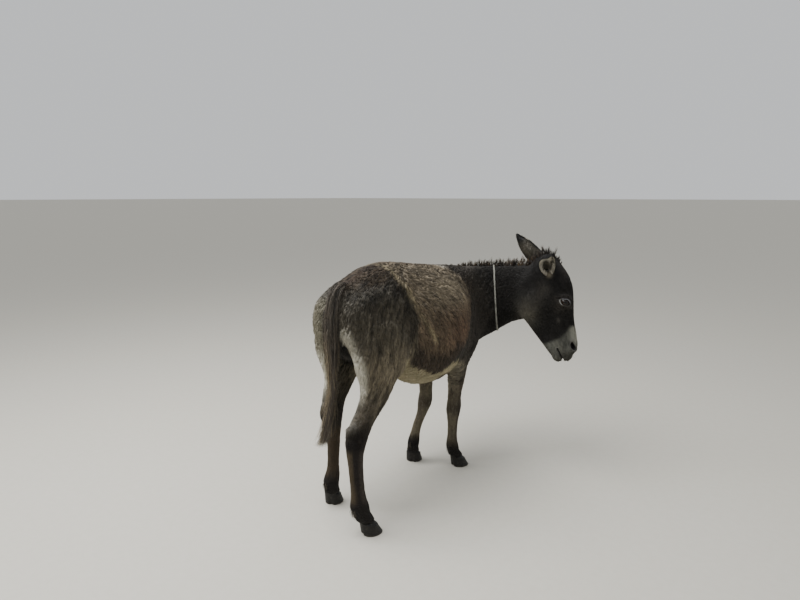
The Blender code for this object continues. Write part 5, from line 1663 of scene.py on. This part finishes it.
def rope_material():
    """Twisted hemp twine, weathered grey: yarn streaks and dirt."""
    material, tree, shader, place = new_material("twisted_hemp_twine")
    yarn = add_node(tree, "ShaderNodeTexNoise", None, {"Scale": 900.0, "Detail": 4.0}, {"Vector": place})
    dirt = add_node(tree, "ShaderNodeTexNoise", None, {"Scale": 45.0, "Detail": 3.0}, {"Vector": place})
    clean = add_node(tree, "ShaderNodeMix", {"data_type": "RGBA"},
                     {"A": colour("#6c6a63"), "B": colour("#a9a89f")}, {"Factor": yarn.outputs["Fac"]})
    soiled = add_node(tree, "ShaderNodeMapRange", None,
                      {"From Min": 0.5, "From Max": 0.75, "To Min": 0.0, "To Max": 0.6},
                      {"Value": dirt.outputs["Fac"]})
    mixed = add_node(tree, "ShaderNodeMix", {"data_type": "RGBA"}, {"B": colour("#3d382f")},
                     {"Factor": soiled.outputs["Result"], "A": clean.outputs["Result"]})
    lump = add_node(tree, "ShaderNodeBump", None, {"Strength": 0.6, "Distance": 0.0005},
                    {"Height": yarn.outputs["Fac"]})
    connect(tree, shader, {"Roughness": 0.85},
            {"Base Color": mixed.outputs["Result"], "Normal": lump.outputs["Normal"]})
    return material


def floor_material():
    """Plain pale studio floor, matt, with a barely visible tooth."""
    material, tree, shader, place = new_material("matt_studio_floor")
    tooth = add_node(tree, "ShaderNodeTexNoise", None, {"Scale": 30.0, "Detail": 2.0}, {"Vector": place})
    mixed = add_node(tree, "ShaderNodeMix", {"data_type": "RGBA"},
                     {"A": colour("#c6c2b6"), "B": colour("#cdc9be")}, {"Factor": tooth.outputs["Fac"]})
    connect(tree, shader, {"Roughness": 0.9}, {"Base Color": mixed.outputs["Result"]})
    return material


def dress(obj, material):
    obj.data.materials.clear()
    obj.data.materials.append(material)


# ---------------------------------------------------------------- the whole animal
UNDER_COAT = 0.85        # the hide is this much darker than the hair over it


def finish_piece(obj, slot, material, *replaced):
    dress(obj, material)
    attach(obj, "root")
    if replaced:
        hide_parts(*replaced)


def skin_with_ears():
    """Skin and ears as one mesh, with each point's place on an ear and the ear's long way."""
    skin = make_skin()
    body_points = len(skin.data.vertices)
    parts, ear_places, courses = [skin], [np.tile(NO_EAR, (body_points, 1))], [np.zeros((body_points, 3))]
    for name in EARS:
        obj, place, course = make_ear(name)
        parts.append(obj)
        ear_places.append(place)
        courses.append(np.tile(course, (len(place), 1)))
    select_only(*parts)
    bpy.ops.object.join()
    edit_all(skin, (bpy.ops.uv.smart_project, {"angle_limit": math.radians(66), "island_margin": 0.002}))
    skin.data.uv_layers[0].name = "OFBake"
    skin.data.shade_smooth()
    return skin, np.concatenate(ear_places), np.concatenate(courses)


skin, ears, courses = skin_with_ears()
skin_co, _ = read(skin.data)
skin_out = normals(skin.data)
skin_colours = markings_and_painted_light(skin_co, skin_out)
on_ear = ears[:, 0] > -1
skin_colours[on_ear] = markings_and_painted_light(skin_co[on_ear], skin_out[on_ear], ears[on_ear])
paint(skin.data, skin_colours * UNDER_COAT)
hide = hide_material()
short_hair = hair_material("lying_coat_hair", 0.68, 0.10, 4.0, 0.2)
long_hair = hair_material("coarse_long_hair", 0.50, 0.15, 3.0, 0.2)
finish_piece(skin, "coat", hide, *FLESH, "ear_left", "ear_right")
for piece in grow_coat(skin, ears, courses):
    finish_piece(piece, "coat", short_hair)
for maker, *replaced in ((make_mane, "mane"), (make_forelock, "forelock"), (make_tail, "tail_switch"),
                         (make_whiskers,), (make_ear_hair,)):
    finish_piece(maker(), "long_hair", long_hair, *replaced)
wet_eye = eye_material()
for hand, sign in (("left", 1), ("right", -1)):
    finish_piece(make_eye(f"eyeball_{hand}", sign), "eye", wet_eye, f"eye_{hand}")
horn = horn_material()
for end in ("fore", "hind"):
    for hand in ("left", "right"):
        node = f"hoof_{end}_{hand}"
        finish_piece(make_hoof(f"horn_{end}_{hand}", node), "hoof_horn", horn, node)
rope, fibres = make_rope()
twine = rope_material()
finish_piece(rope, "rope", twine, "neck_rope")
finish_piece(fibres, "rope", twine)


# ---------------------------------------------------------------- stage
FLOOR_SIZE = 400
KEY_PLACE = (-1.6, 0.8, 4.0)
KEY_AIM = (0, 0, 0.7)
KEY_POWER = 260
KEY_SIZE = 3.0
SKY_COLOUR = "#e4e6e8"
SKY_STRENGTH = 0.9
CAMERA_PLACE = (-2.1629, -1.7293, 1.3774)
CAMERA_COURSE = math.radians(-50.09)
CAMERA_DOWN = math.radians(9.926)
CAMERA_LENS = 27
CAMERA_SENSOR = 36

bpy.ops.mesh.primitive_plane_add(size=FLOOR_SIZE, location=(0, 0, 0))
floor = bpy.context.object
floor.name = "floor"
dress(floor, floor_material())
key = add_object("key", bpy.data.lights.new("key", "AREA"))
key.location = at(KEY_PLACE)
key.data.energy = KEY_POWER
key.data.size = KEY_SIZE
key.rotation_euler = Vector(at(KEY_AIM) - at(KEY_PLACE)).to_track_quat("-Z", "Y").to_euler()
world = bpy.data.worlds.new("studio")
world.use_nodes = True
connect(world.node_tree, world.node_tree.nodes["Background"],
        {"Color": colour(SKY_COLOUR), "Strength": SKY_STRENGTH})
bpy.context.scene.world = world
camera = add_object("camera", bpy.data.cameras.new("camera"))
camera.location = at(CAMERA_PLACE)
camera.data.lens = CAMERA_LENS
camera.data.sensor_width = CAMERA_SENSOR
camera.rotation_euler = (math.radians(90) - CAMERA_DOWN, 0, CAMERA_COURSE - math.radians(90))
bpy.context.scene.camera = camera
